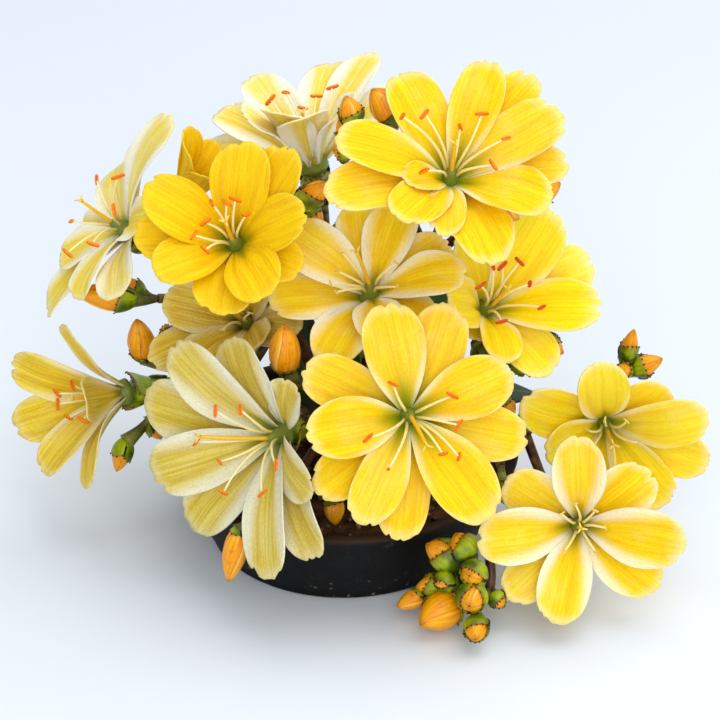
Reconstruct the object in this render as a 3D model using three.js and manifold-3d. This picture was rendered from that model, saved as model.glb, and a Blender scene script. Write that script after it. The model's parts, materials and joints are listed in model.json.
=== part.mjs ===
// Potted lewisia: a low flared pot with soil, a woody crown, a rosette of fleshy leaves,
// branched flower stalks, twelve open flowers, one half-open flower and clusters of buds.
// Millimetres, +Z up. The origin is the centre of the pot's flat base and the front is -Y.

import * as THREE from 'three';
import { mergeVertices } from 'three/addons/utils/BufferGeometryUtils.js';
import Module from 'manifold-3d';

const wasm = await Module();
wasm.setup();

// Driving dimensions
const POT_HEIGHT = 16;
const RIM_RADIUS = 29;
const BASE_RADIUS = 22.5;
const FOOT_ROUND = 1;
const RIM_ROUND = 0.5;
const WALL = 2;
const POT_FLOOR = 2.5;
const DRAIN_RADIUS = 1.5;
const DRAIN_PLACE = 12;
const DRAIN_COUNT = 3;
const DRAIN_SIDES = 8;
const GAP = 0.3;
const SOIL_TOP = 13;
const SOIL_RISE = 0.6;
const CROWN_RADIUS = 7;
const CROWN_TOP = 21;
const CROWN_SHOULDER = 1.5;
const CROWN_SIDES = 16;
const LEAF_RISE = 2;
const LEAF_GAP = 1;
const LEAF_THICKNESS = 1.8;
const PETAL_THICKNESS = 0.5;
const PETAL_TURN = 22;
const PETAL_CUP = 0.16;
const CLAW = 0.16;
const WIDEST_AT = 0.75;
const BLADE_RISE = 1.1;
const BLADE_FALL = 0.4;
const BLADE_STATIONS = [0, 0.4, 0.76, 1];
const HUB = 0.8;
const WHORL = 0.6;
const RECEPTACLE_WALL = 1.2;
const RECEPTACLE_HEIGHT = 1.4;
const CALYX_RADIUS = 2.7;
const CALYX_DEPTH = 5.5;
const CALYX_SHOULDER = 0.6;
const OVARY_RADIUS = 1;
const OVARY_HEIGHT = 1.5;
const OVARY_SHOULDER = 0.6;
const STYLE_LENGTH = 4;
const FILAMENT_WIDTH = 0.5;
const FILAMENT_START = 0.4;
const FILAMENT_RAISE = 14;
const FILAMENT_STATIONS = [0, 0.5, 0.84, 1];
const ANTHER_WIDTH = 1.1;
const STALK_RADIUS = 1.2;
const PEDICEL_RADIUS = 0.8;
const PEDICEL_BACK = [9, 4];
const BUD_STALK_RADIUS = 0.72;
const BUD_SINK = 0.2;
const STALK_SIDES = 6;
const THIN_SIDES = 4;
const ROUND_SIDES = 40;
const BUD_SIDES = 6;
const CALYX_SIDES = 6;
const RECEPTACLE_SIDES = 8;
const OVARY_SIDES = 5;

const finish = (color, roughness) => new THREE.MeshStandardMaterial({ color, roughness, metalness: 0 });

const FINISHES = {
  pot: finish('#2b2f36', 0.55),
  soil: finish('#5a4632', 0.95),
  crown: finish('#5b4030', 0.85),
  leaf: finish('#4f6b34', 0.5),
  stalk: finish('#5a4a30', 0.55),
  petal: finish('#f6cf1e', 0.5),
  stamen: finish('#efdf9a', 0.5),
  bud: finish('#e88a12', 0.45),
};

// Every flower has its heart, the way it faces (azimuth from the front, elevation), how far its
// petals lift above its own flat, and its petals as [clock angle, length, width, extra lift].
// The stamens are [clock angle, length].
const FLOWERS = [
  {
    heart: [10, -19, 32.5], faces: [10, 32], lift: 18,
    petals: [[349, 18.5, 10.5, 3], [26, 18.5, 10, -3], [69, 17.5, 10, 3], [109, 19, 9.5, -2],
      [148, 20.5, 11, 3],
      [191, 19.5, 9, -3], [213, 19.5, 8.5, 3], [236, 19.5, 9, -2], [265, 19, 10, 9],
      [298, 18.5, 9, -3]],
    stamens: [[68, 8], [108, 8.5], [150, 9], [140, 11.5], [214, 12], [250, 10.5], [330, 7]],
  },
  {
    heart: [-9.5, -17, 28], faces: [-38, 14], lift: 28,
    petals: [[310, 22, 10.5, 3], [334, 18, 9, -3], [17, 12, 7, -3], [103, 16, 8, 6],
      [128, 22.5, 8.5, -3],
      [149, 23.5, 10, 2], [208, 21.5, 10.5, -3], [236, 21.5, 10.5, 3], [271, 23, 10.5, -3]],
    stamens: [[304, 10.5], [334, 8], [258, 12], [190, 12], [132, 12], [95, 10], [226, 9]],
  },
  {
    heart: [4.5, -3, 45], faces: [-10, 60], lift: 22,
    petals: [[294, 16.5, 10.5, 3], [344, 15.5, 9, -3], [13, 15, 9, 3], [57, 14.5, 9.5, -3],
      [85, 16.5, 9, 3],
      [120, 12, 8.5, -3], [160, 12, 8.5, 3], [197, 16.5, 9.5, -4], [250, 16.5, 10, -3]],
    stamens: [[305, 7], [240, 8], [222, 8], [270, 6], [60, 6], [115, 7]],
  },
  {
    heart: [-16.5, -6, 55.5], faces: [-10, 43], lift: 35,
    petals: [[288, 17.5, 9.5, 6], [262, 16.5, 9, -4], [231, 15.5, 8.5, 3], [178, 14.5, 10.5, -3],
      [140, 16, 9.5, 3],
      [112, 14, 7.5, -4], [75, 15.5, 9.5, 3], [33, 18.5, 9.5, -3], [8, 17, 10, 4]],
    stamens: [[326, 8], [352, 7], [10, 8], [40, 6], [290, 6], [254, 8], [222, 7]],
  },
  {
    heart: [16.5, -4, 65.5], faces: [6, 56], lift: 24,
    petals: [[280, 20, 9, 3], [254, 22, 9.5, -3], [339, 18.5, 9.5, -2], [25, 19.5, 8.5, 3],
      [43, 21, 8.5, -4],
      [73, 19.5, 10, 3], [95, 18.5, 9, -3], [126, 18, 9, 3], [164, 19, 10, -3],
      [194, 14, 6.5, 3], [221, 15.5, 9, 4], [250, 10, 6, 14]],
    stamens: [[304, 13], [16, 7], [328, 10.5], [38, 10.5], [80, 11], [246, 7], [110, 8]],
  },
  {
    heart: [22.5, 1, 40], faces: [30, 42], lift: 38,
    petals: [[346, 14, 8, -4], [47, 19.5, 10, 3], [87, 19.5, 9.5, -3], [117, 19, 9.5, 3],
      [169, 16.5, 9.5, -3],
      [203, 14, 7.5, 3], [240, 8, 6, -3], [278, 13, 9, 3]],
    stamens: [[10, 8.5], [36, 10], [130, 10], [346, 9.5], [80, 8], [300, 9], [215, 8]],
  },
  {
    heart: [42.5, -3, 22], faces: [3, 3], lift: 32,
    petals: [[350, 19.5, 9, 3], [46, 13.5, 9, -3], [67, 19, 9.5, 3], [102, 18.5, 9.5, -3],
      [140, 16.5, 9, 3],
      [190, 13, 8, -3], [260, 12.5, 9, 3], [299, 19, 9.5, -3]],
    stamens: [[306, 8], [345, 7], [30, 7], [90, 7], [170, 7], [240, 8]],
  },
  {
    heart: [37.5, -19, 12.5], faces: [-3, 24], lift: 33,
    petals: [[357, 19, 9, 3], [48, 16, 9.5, -3], [92, 19.5, 10, 3], [126, 17, 9.5, -3],
      [196, 17.5, 9, 3],
      [226, 17.5, 8.5, -3], [266, 19.5, 9.5, 3], [303, 16, 9, -3]],
    stamens: [[312, 6], [216, 6], [34, 6], [142, 6], [348, 7], [80, 6]],
  },
  {
    heart: [-36.5, 6, 22], faces: [-54, 7], lift: 48,
    petals: [[350, 17.5, 8, -8], [287, 19, 9, 3], [230, 20.5, 9, -3], [181, 18.5, 9, 3],
      [132, 19.5, 8.5, -3],
      [60, 16, 8, 3]],
    stamens: [[275, 9], [245, 9], [200, 8], [140, 7], [320, 7]],
  },
  {
    heart: [-34.5, 8, 51], faces: [-72, 36], lift: 13,
    petals: [[9, 21.5, 9, 3], [328, 17.5, 9, -3], [298, 11, 9.5, 3], [236, 14, 8.5, -3],
      [208, 13, 8.5, 3],
      [188, 20, 9, -3], [112, 16, 9, -3], [150, 14, 8.5, 3], [60, 13, 8.5, 3]],
    stamens: [[10, 9], [58, 8], [114, 8], [170, 9], [230, 8], [300, 8]],
  },
  {
    heart: [-5, 12, 61], faces: [-38, 72], lift: 18, hub: 1.6,
    petals: [[334, 20, 9, -3], [296, 18, 8.5, 3], [272, 18, 8.5, -3], [250, 19.5, 7.5, -12],
      [0, 20, 8, 3],
      [22, 19.5, 7, -4], [72, 16, 8.5, 40], [126, 17, 9, 50], [172, 17, 9.5, 54], [214, 16, 8.5, 44]],
    stamens: [[286, 10.5], [342, 9], [306, 10.5], [0, 11], [322, 7]],
  },
  {
    heart: [-15.5, 4, 36], faces: [-25, 44], lift: 42,
    petals: [[258, 14.5, 9, 3], [214, 19, 9, -3], [190, 17, 9, 3], [165, 10, 8, -3], [133, 12, 9, 3],
      [95, 16, 8.5, -3], [314, 12, 8, -3], [24, 9.5, 7, 3]],
    stamens: [[270, 7], [180, 7], [90, 7], [0, 6]],
  },
];

// The half-open flower behind the upper left flower
const HALF_OPEN = {
  heart: [-25, 4.5, 59.5], faces: [70, 62], lift: 72, hub: 2,
  petals: [[20, 10, 5.5, 1], [92, 9.5, 5.5, -1], [164, 10, 5.5, 1], [236, 9.5, 5.5, -1],
    [308, 10, 5.5, 1]],
};

// Leaves as [azimuth from +X, length, width, lift at the base, lift at the tip]
const LEAVES = [
  [14, 27, 11, 38, -20], [48, 31, 11, 64, 34], [86, 29, 10, 76, 45], [123, 29, 10, 66, 34],
  [182, 24, 10, 38, -12],
  [203, 19, 6.5, 60, 10], [225, 15, 6, 40, 15], [282, 12, 6, 30, 10], [306, 16, 6.5, 48, 15],
  [345, 21, 8.5, 22, -12],
];

// Flower stalks: routes from the crown outwards, and the flowers each carries as
// [flower number, points of its own small stalk before it meets the flower].
const STALKS = {
  scape_left: {
    routes: [[[-3, 3, 22], [-7, 5, 32], [-12, 5, 42]]],
    flowers: [[4, [[-12, 5, 42], [-15, 5, 47]]], [10, [[-12, 5, 42], [-20, 8.5, 43.5]]],
      [13, [[-12, 5, 42], [-19, 6, 52]]]],
  },
  scape_rear: {
    routes: [[[0, 6, 22], [-2, 12, 34], [-3, 15, 46]]],
    flowers: [[11, [[-3, 15, 46]]]],
  },
  scape_top: {
    routes: [[[4, 3, 22], [9, 6, 36], [14, 5, 48]]],
    flowers: [[5, [[14, 5, 48]]]],
  },
  scape_centre: {
    routes: [[[1, -3, 22.5], [4, -1, 32]]],
    flowers: [[3, [[4, -1, 32]]]],
  },
  scape_right: {
    routes: [[[7, 1, 21.5], [14, 5, 27]]],
    flowers: [[6, [[14, 5, 27], [18, 5.5, 33]]]],
  },
  scape_low_right: {
    routes: [[[8.5, -2, 19], [18, -3, 23], [29, -2, 21]]],
    flowers: [[7, [[29, -2, 21], [38, 5, 20]]], [8, [[29, -2, 21], [34, -8, 11]]]],
  },
  scape_front: {
    routes: [[[1.5, -6.5, 21], [1.5, -9.5, 25]]],
    flowers: [[1, [[1.5, -9.5, 25], [6, -11, 27]]], [2, [[1.5, -9.5, 25], [-2, -11, 26]]]],
  },
  scape_low_left: {
    routes: [[[-8, 1, 20], [-17, 6, 24], [-25, 9, 22]]],
    flowers: [[9, [[-25, 9, 22]]], [12, [[-17, 6, 24], [-14, 6, 29]]]],
  },
};

// Bud groups: a shared stalk route, and the buds as [base, tip, radius]
const BUDS = {
  buds_front: {
    stalk: [[23, -26, 12.5], [23, -29, 7], [21, -29, 4.5]],
    buds: [[[18.5, -28.5, 4.6], [12, -34, 3.6], 3.2], [[19, -27, 10], [13, -27, 14], 2.6],
      [[20, -28, 12], [17.5, -27, 16], 2.4],
      [[20.5, -31, 8], [19.5, -36, 8.5], 2.6], [[21, -30, 11], [19.5, -33.5, 12.5], 2.4],
      [[17, -29, 8.5], [14.5, -31, 9.5], 1.7], [[21, -33, 4], [20.5, -38.5, 4], 2.2],
      [[17.5, -26.5, 6.5], [11.5, -28, 6.5], 1.9], [[13.5, -26.5, 4.5], [8.5, -28.5, 3], 1.7],
      [[23.5, -29.5, 6.6], [25, -32, 5.4], 1.3]],
  },
  buds_right: {
    stalk: [[40.5, 8.5, 21], [44, 8, 23], [46.5, 6.5, 25]],
    buds: [[[46.5, 6, 28], [47.5, 5, 34.5], 1.4], [[47.5, 6, 26], [52.5, 5, 29], 1.8],
      [[46.5, 5, 27], [45.5, 2, 28], 1.3]],
  },
  buds_left: {
    stalk: [[-14, 6.5, 40.5], [-19, 6.5, 40], [-26, 5.5, 40], [-30, 4.5, 40.5]],
    buds: [[[-33, 3, 41], [-43, 2, 43], 2.4], [[-32, 5, 40.5], [-37.5, 6, 43], 2]],
  },
  buds_upright_left: {
    stalk: [[-25, 6.5, 24], [-28, 5.5, 26.5]],
    buds: [[[-32.5, 4, 29], [-33.5, 3, 37.5], 2.4], [[-28.5, 6, 31], [-29, 5, 35.5], 1.3]],
  },
  buds_low_left: {
    stalk: [[-26.5, 7, 20], [-31, 5.5, 19]],
    buds: [[[-36, 2, 15.5], [-38, 1, 9.5], 1.7], [[-32.5, 4.5, 17.5], [-30.5, 4, 14], 1.5]],
  },
  buds_middle: {
    stalk: [[-1.5, -5, 26], [-5, -9.5, 31.5]],
    buds: [[[-9, -13, 36.5], [-9, -13, 45.5], 2.7], [[-3.5, -4, 36.5], [-2, -6, 41.5], 1.5]],
  },
  bud_hanging_front: {
    stalk: [[-3.5, -9, 22], [-8, -17, 19.5], [-13, -24.5, 18.3]],
    buds: [[[-15.8, -27, 17.5], [-18, -28, 7.5], 2.1]],
  },
  bud_under_flower_01: {
    stalk: [[1, -9.5, 22.5], [-1, -15, 22], [-1.5, -19, 20]],
    buds: [[[-1.5, -20, 18.5], [-1.2, -22.3, 14.3], 1.8]],
  },
  buds_top_left: {
    stalk: [[-5, 13, 46], [-6.5, 10, 51], [-7, 7, 54.5]],
    buds: [[[-7, 4, 57.5], [-2.5, 1, 63], 2.1], [[-5.5, 6, 56], [-3.5, 4.5, 53.5], 1.6]],
  },
  buds_top_centre: {
    stalk: [[13, 7.5, 48.5], [9, 7.5, 58], [6, 2.5, 66]],
    buds: [[[2, 1.5, 72.5], [0.5, 1.5, 77.5], 1.9], [[1.5, 1, 68.5], [-1.5, 0, 69], 1.7],
      [[1, 2, 69.5], [-0.5, 2, 73.5], 1.4],
      [[8.5, 4, 72.5], [4.5, 4, 77.5], 2.7]],
  },
  buds_top_right: {
    stalk: [[16.5, 6.5, 49], [21, 5, 54], [25, 1.5, 58]],
    buds: [[[29.5, 1, 60], [34, 1, 63], 1.9], [[24.5, -1, 60], [27.5, -2, 58], 1.6]],
  },
  buds_mid_right: {
    stalk: [[16, 4, 26], [22, 3.5, 28], [27.5, 1.5, 31]],
    buds: [[[31, -1, 36], [35.5, -2, 34], 2], [[28.5, 0, 33], [29, -1, 29], 1.6],
      [[29.5, 0, 31.5], [31.5, -1, 29], 1.2]],
  },
  buds_inner_right: {
    stalk: [[14.5, 2, 26], [19, -1.5, 29], [21, -4, 33]],
    buds: [[[21.5, -5, 38], [23.5, -6, 34], 2], [[25.5, -7, 28], [27.5, -8, 26], 1.5]],
  },
  bud_low_right: {
    stalk: [[20, -5.5, 22], [24, -12, 22], [25, -16, 21.5]],
    buds: [[[25, -18, 20], [26, -19, 16], 1.6]],
  },
};

const radians = THREE.MathUtils.degToRad;
const vector = ([x, y, z]) => new THREE.Vector3(x, y, z);

/** A closed geometry as a solid that can be joined and cut. */
function solid(geometry) {
  const bare = geometry.clone();
  bare.deleteAttribute('normal');
  bare.deleteAttribute('uv');
  const merged = mergeVertices(bare, 1e-4);
  const corners = Array.from(merged.index.array);
  const kept = [];
  for (let i = 0; i < corners.length; i += 3) {
    const [a, b, c] = corners.slice(i, i + 3);
    if (a !== b && b !== c && c !== a) kept.push(a, b, c);
  }
  const vertProperties = merged.attributes.position.array;
  const triVerts = new Uint32Array(kept);
  return new wasm.Manifold(new wasm.Mesh({ numProp: 3, vertProperties, triVerts }));
}

/** One body out of several solids that run into each other. */
function joined(solids) {
  return solids.reduce((body, next) => body.add(next));
}

/** A named mesh from a solid. */
function piece(name, body, material) {
  const { vertProperties, triVerts } = body.getMesh();
  const geometry = new THREE.BufferGeometry();
  geometry.setAttribute('position', new THREE.BufferAttribute(vertProperties, 3));
  geometry.setIndex(new THREE.BufferAttribute(triVerts, 1));
  const mesh = new THREE.Mesh(geometry, material);
  mesh.name = name;
  return mesh;
}

/** A turned shape: the profile holds [radius, height] points and is revolved about +Z. */
function turned(profile, sides) {
  const points = profile.map(([radius, height]) => new THREE.Vector2(radius, height));
  return new THREE.LatheGeometry(points, sides).rotateX(Math.PI / 2);
}

/** A round stem along a smooth route. */
function stem(points, radius, stepsEach = 2, sides = STALK_SIDES) {
  const section = new THREE.Shape();
  section.absarc(0, 0, radius, 0, 2 * Math.PI);
  const extrudePath = new THREE.CatmullRomCurve3(points.map(vector));
  const tube = new THREE.ExtrudeGeometry(section, {
    steps: stepsEach * (points.length - 1), extrudePath, curveSegments: sides / 2, bevelEnabled: false,
  });
  return solid(tube);
}

/** Where a blade of this length stands at t when its lift turns evenly from one angle to another. */
function along(length, firstLift, lastLift, t) {
  const first = radians(firstLift);
  const turn = radians(lastLift - firstLift);
  const lift = first + turn * t;
  const reach = (length * (Math.sin(lift) - Math.sin(first))) / turn;
  const rise = (length * (Math.cos(first) - Math.cos(lift))) / turn;
  return { lift, reach, rise };
}

/** Half width of a blade that is widest past its middle, as a share of its widest. */
function bladeWidth(t) {
  const shape = (s) => Math.pow(s, BLADE_RISE) * Math.pow(1.02 - s, BLADE_FALL);
  return CLAW + ((1 - CLAW) * shape(t)) / shape(WIDEST_AT);
}

/** A curved plate that starts at a given radius and points along +Y, lifting towards +Z. */
function blade({ length, width, thickness, start, firstLift, lastLift, cup, height = 0 }) {
  const plate = new THREE.BoxGeometry(2, 1, 1, 2, BLADE_STATIONS.length - 1, 1);
  const places = plate.attributes.position;
  for (let i = 0; i < places.count; i += 1) {
    const across = places.getX(i);
    const t = BLADE_STATIONS[Math.round((places.getY(i) + 0.5) * (BLADE_STATIONS.length - 1))];
    const half = (width / 2) * bladeWidth(t);
    const { lift, reach, rise } = along(length, firstLift, lastLift, t);
    const raised = cup * half * across * across + places.getZ(i) * thickness;
    const out = start + reach - Math.sin(lift) * raised;
    places.setXYZ(i, across * half, out, height + rise + Math.cos(lift) * raised);
  }
  return plate;
}

/** Turns a flower's own frame, which faces +Z with its top at +Y, the way the flower faces. */
function faceFlower(object, { heart, faces: [azimuth, elevation] }) {
  object.position.set(...heart);
  object.rotation.set(radians(90 - elevation), 0, radians(azimuth), 'ZXY');
  object.updateMatrix();
  return object;
}

/** The petals of a flower, joined by the receptacle at its heart. */
function corolla({ lift, petals, hub = HUB }) {
  const edge = hub + RECEPTACLE_WALL;
  const receptacle = turned([
    [0, -RECEPTACLE_HEIGHT], [edge, -WHORL], [edge, WHORL * 2], [0, RECEPTACLE_HEIGHT],
  ], RECEPTACLE_SIDES);
  const blades = petals.map(([clock, length, width, extra]) => {
    const petal = blade({
      length, width, thickness: PETAL_THICKNESS, start: hub, cup: PETAL_CUP,
      firstLift: lift + extra + PETAL_TURN, lastLift: lift + extra - PETAL_TURN,
      height: extra > 0 ? WHORL : -WHORL,
    });
    return solid(petal.rotateZ(-radians(clock)));
  });
  return joined([solid(receptacle), ...blades]);
}

/** One filament that thickens to its anther, in the flower's own frame. */
function filament(clock, length, lift, height) {
  const last = FILAMENT_STATIONS.length - 1;
  const rod = new THREE.BoxGeometry(1, 1, 1, 1, last, 1);
  const places = rod.attributes.position;
  for (let i = 0; i < places.count; i += 1) {
    const t = FILAMENT_STATIONS[Math.round((places.getY(i) + 0.5) * last)];
    const thick = t < 1 ? FILAMENT_WIDTH : ANTHER_WIDTH;
    const { lift: slope, reach, rise } = along(length, lift + PETAL_TURN, lift - PETAL_TURN / 2, t);
    const raised = places.getZ(i) * thick;
    const out = FILAMENT_START + reach - Math.sin(slope) * raised;
    places.setXYZ(i, places.getX(i) * thick, out, height + rise + Math.cos(slope) * raised);
  }
  return rod.rotateZ(-radians(clock));
}

/** The ovary with its ring of filaments. */
function stamenGroup({ lift, stamens }) {
  const bottom = RECEPTACLE_HEIGHT + GAP;
  const top = bottom + OVARY_HEIGHT;
  const ovary = turned([
    [0, bottom], [OVARY_RADIUS, top - OVARY_SHOULDER], [OVARY_RADIUS * 0.7, top + 1],
    [0, top + STYLE_LENGTH],
  ], OVARY_SIDES);
  const slope = lift + FILAMENT_RAISE;
  const foot = top - FILAMENT_START;
  const ring = stamens.map(([clock, length]) => solid(filament(clock, length, slope, foot)));
  return joined([solid(ovary), ...ring]);
}

/** The small green cup behind a flower, in the flower's own frame. */
function calyx() {
  const top = -RECEPTACLE_HEIGHT - GAP;
  return turned([
    [0, top - CALYX_DEPTH], [PEDICEL_RADIUS, top - CALYX_DEPTH],
    [CALYX_RADIUS * 0.7, top - CALYX_DEPTH / 2], [CALYX_RADIUS, top - CALYX_SHOULDER], [0, top],
  ], CALYX_SIDES);
}

/** A point on a flower's axis, this far behind its heart. */
function behind(flower, distance) {
  const holder = faceFlower(new THREE.Object3D(), flower);
  return new THREE.Vector3(0, 0, -distance).applyMatrix4(holder.matrix).toArray();
}

/** A branched flower stalk with the calyx of each flower it carries. */
function scape({ routes, flowers }, every) {
  const parts = routes.map((route) => stem(route, STALK_RADIUS));
  for (const [number, route] of flowers) {
    const flower = every[number - 1];
    const holder = faceFlower(new THREE.Object3D(), flower);
    const back = PEDICEL_BACK.map((distance) => behind(flower, distance));
    parts.push(stem([...route, ...back], PEDICEL_RADIUS, 1));
    parts.push(solid(calyx().applyMatrix4(holder.matrix)));
  }
  return joined(parts);
}

/** A bud from its base to its tip: sepals clasp its lower half and the petals stand out above. */
function bud([base, tip, radius]) {
  const from = vector(base);
  const axis = vector(tip).sub(from);
  const length = axis.length();
  const body = turned([
    [0, 0], [radius * 0.95, length * 0.3], [radius * 0.9, length * 0.6], [0, length],
  ], BUD_SIDES);
  const up = new THREE.Vector3(0, 0, 1);
  body.applyQuaternion(new THREE.Quaternion().setFromUnitVectors(up, axis.normalize()));
  return solid(body.translate(...base));
}

/** A group of buds with short stalks that run back to one shared stalk. */
function budGroup({ stalk, buds }) {
  const end = stalk.at(-1);
  const parts = [stem(stalk, PEDICEL_RADIUS, 1)];
  for (const [base, tip, radius] of buds) {
    const inside = vector(base).lerp(vector(tip), BUD_SINK).toArray();
    parts.push(stem([end, inside], BUD_STALK_RADIUS, 1, THIN_SIDES));
    parts.push(bud([base, tip, radius]));
  }
  return joined(parts);
}

/** The pot: a flared wall on a flat base, with small drain holes away from the centre. */
function potBody() {
  const shell = turned([
    [0, 0], [BASE_RADIUS - FOOT_ROUND, 0], [BASE_RADIUS, FOOT_ROUND],
    [RIM_RADIUS, POT_HEIGHT - RIM_ROUND], [RIM_RADIUS - RIM_ROUND, POT_HEIGHT],
    [RIM_RADIUS - WALL, POT_HEIGHT], [BASE_RADIUS - WALL, POT_FLOOR], [0, POT_FLOOR],
  ], ROUND_SIDES);
  let body = solid(shell);
  for (let i = 0; i < DRAIN_COUNT; i += 1) {
    const hole = new THREE.CylinderGeometry(DRAIN_RADIUS, DRAIN_RADIUS, 3 * POT_FLOOR, DRAIN_SIDES);
    hole.rotateX(Math.PI / 2).translate(DRAIN_PLACE, 0, 0);
    body = body.subtract(solid(hole.rotateZ((2 * Math.PI * i) / DRAIN_COUNT)));
  }
  return body;
}

/** Inner radius of the pot at a height. */
function innerRadius(height) {
  const share = (height - POT_FLOOR) / (POT_HEIGHT - POT_FLOOR);
  return THREE.MathUtils.lerp(BASE_RADIUS, RIM_RADIUS, share) - WALL;
}

const group = new THREE.Group();
group.name = 'potted_lewisia';

group.add(piece('pot', potBody(), FINISHES.pot));

const soilBottom = POT_FLOOR + GAP;
group.add(piece('soil', solid(turned([
  [0, soilBottom], [innerRadius(soilBottom) - GAP, soilBottom], [innerRadius(SOIL_TOP) - GAP, SOIL_TOP],
  [CROWN_RADIUS * 1.5, SOIL_TOP + SOIL_RISE], [0, SOIL_TOP + SOIL_RISE],
], ROUND_SIDES)), FINISHES.soil));

const crownBottom = SOIL_TOP + SOIL_RISE + GAP;
group.add(piece('crown', solid(turned([
  [0, crownBottom], [CROWN_RADIUS * 0.93, crownBottom], [CROWN_RADIUS, crownBottom + LEAF_RISE],
  [CROWN_RADIUS * 0.75, CROWN_TOP - CROWN_SHOULDER], [CROWN_RADIUS * 0.4, CROWN_TOP], [0, CROWN_TOP],
], CROWN_SIDES)), FINISHES.crown));

LEAVES.forEach(([azimuth, length, width, firstLift, lastLift], i) => {
  const leaf = blade({
    length, width, thickness: LEAF_THICKNESS, start: CROWN_RADIUS + LEAF_GAP, firstLift, lastLift,
    cup: PETAL_CUP,
  });
  const mesh = piece(`leaf_${String(i + 1).padStart(2, '0')}`, solid(leaf), FINISHES.leaf);
  mesh.position.set(0, 0, crownBottom + LEAF_RISE);
  mesh.rotation.z = radians(azimuth - 90);
  group.add(mesh);
});

const every = [...FLOWERS, HALF_OPEN];
for (const [name, stalk] of Object.entries(STALKS)) {
  group.add(piece(name, scape(stalk, every), FINISHES.stalk));
}

FLOWERS.forEach((flower, i) => {
  const number = String(i + 1).padStart(2, '0');
  group.add(faceFlower(piece(`flower_${number}_petals`, corolla(flower), FINISHES.petal), flower));
  group.add(faceFlower(piece(`flower_${number}_stamens`, stamenGroup(flower), FINISHES.stamen), flower));
});
group.add(faceFlower(piece('half_open_flower', corolla(HALF_OPEN), FINISHES.petal), HALF_OPEN));

for (const [name, buds] of Object.entries(BUDS)) {
  group.add(piece(name, budGroup(buds), FINISHES.bud));
}

export default group;
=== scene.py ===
"""The looks of a potted lewisia: pot, soil, crown, leaves, stalks, flowers and buds.

Sizes held by the classes are millimetres in the part's own frame. Meshes are made in metres.
"""

import json
import logging
import math
import random
from dataclasses import dataclass
from enum import Enum
from typing import Callable, Iterable, Sequence

import bmesh
import bpy
from mathutils import Matrix, Vector, noise

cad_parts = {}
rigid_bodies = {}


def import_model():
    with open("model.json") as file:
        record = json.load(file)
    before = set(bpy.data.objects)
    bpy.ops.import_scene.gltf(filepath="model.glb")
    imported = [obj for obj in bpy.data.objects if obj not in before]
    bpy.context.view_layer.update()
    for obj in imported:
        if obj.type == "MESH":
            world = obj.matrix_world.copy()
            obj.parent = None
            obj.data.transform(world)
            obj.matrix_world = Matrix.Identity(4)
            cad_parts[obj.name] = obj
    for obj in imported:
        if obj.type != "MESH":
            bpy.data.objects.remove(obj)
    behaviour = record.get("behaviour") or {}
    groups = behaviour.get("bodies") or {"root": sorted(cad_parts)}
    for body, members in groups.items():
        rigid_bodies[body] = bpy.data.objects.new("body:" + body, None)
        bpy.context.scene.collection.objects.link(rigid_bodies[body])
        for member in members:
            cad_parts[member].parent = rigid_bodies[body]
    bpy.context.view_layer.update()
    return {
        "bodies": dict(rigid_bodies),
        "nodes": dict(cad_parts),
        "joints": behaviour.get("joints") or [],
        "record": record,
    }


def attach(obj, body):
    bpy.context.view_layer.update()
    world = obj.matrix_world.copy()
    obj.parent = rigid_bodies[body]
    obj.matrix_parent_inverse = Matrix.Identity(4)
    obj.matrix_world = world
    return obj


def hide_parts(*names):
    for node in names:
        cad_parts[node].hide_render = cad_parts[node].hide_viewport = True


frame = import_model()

Point = tuple[float, float, float]
Colour = tuple[float, float, float, float]
Place = Callable[[float, float], Vector]
Socket = bpy.types.NodeSocket

MM = 0.001
BODY = "root"
PETAL_WALL = 0.22
SEPAL_WALL = 0.3
BUD_WALL = 0.16
TIP_POWER = 2.15
UV_NAME = "surface"
TINT_NAME = "tint"

log = logging.getLogger("lewisia")


def colour(red: int, green: int, blue: int) -> Colour:
    """A colour for a shader from its 0 to 255 display values."""
    linear = [((c / 255 + 0.055) / 1.055) ** 2.4 if c > 10 else c / 255 / 12.92 for c in (red, green, blue)]
    return (linear[0], linear[1], linear[2], 1.0)


def smooth(low: float, high: float, value: float) -> float:
    """How far a value has passed from low to high, from 0 to 1 with soft ends."""
    share = min(1.0, max(0.0, (value - low) / (high - low)))
    return share * share * (3 - 2 * share)


def smooth_route(points: Sequence[Point], steps: int) -> list[Vector]:
    """A smooth route through given points.

    Args:
        points: the points that it passes through, in order.
        steps: how many stretches each span is split into.

    Returns:
        Points along the route, both ends included.
    """
    given = [Vector(p) for p in points]
    padded = [given[0] * 2 - given[1], *given, given[-1] * 2 - given[-2]]
    route = []
    for a, b, c, d in zip(padded, padded[1:], padded[2:], padded[3:]):
        knots = [0.0]
        for p, q in ((a, b), (b, c), (c, d)):
            knots.append(knots[-1] + max((q - p).length, 1e-6) ** 0.5)
        for i in range(steps):
            t = knots[1] + (knots[2] - knots[1]) * i / steps
            ab = a.lerp(b, (t - knots[0]) / (knots[1] - knots[0]))
            bc = b.lerp(c, (t - knots[1]) / (knots[2] - knots[1]))
            cd = c.lerp(d, (t - knots[2]) / (knots[3] - knots[2]))
            abc = ab.lerp(bc, (t - knots[0]) / (knots[2] - knots[0]))
            bcd = bc.lerp(cd, (t - knots[1]) / (knots[3] - knots[1]))
            route.append(abc.lerp(bcd, (t - knots[1]) / (knots[2] - knots[1])))
    route.append(given[-1])
    return route


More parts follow.
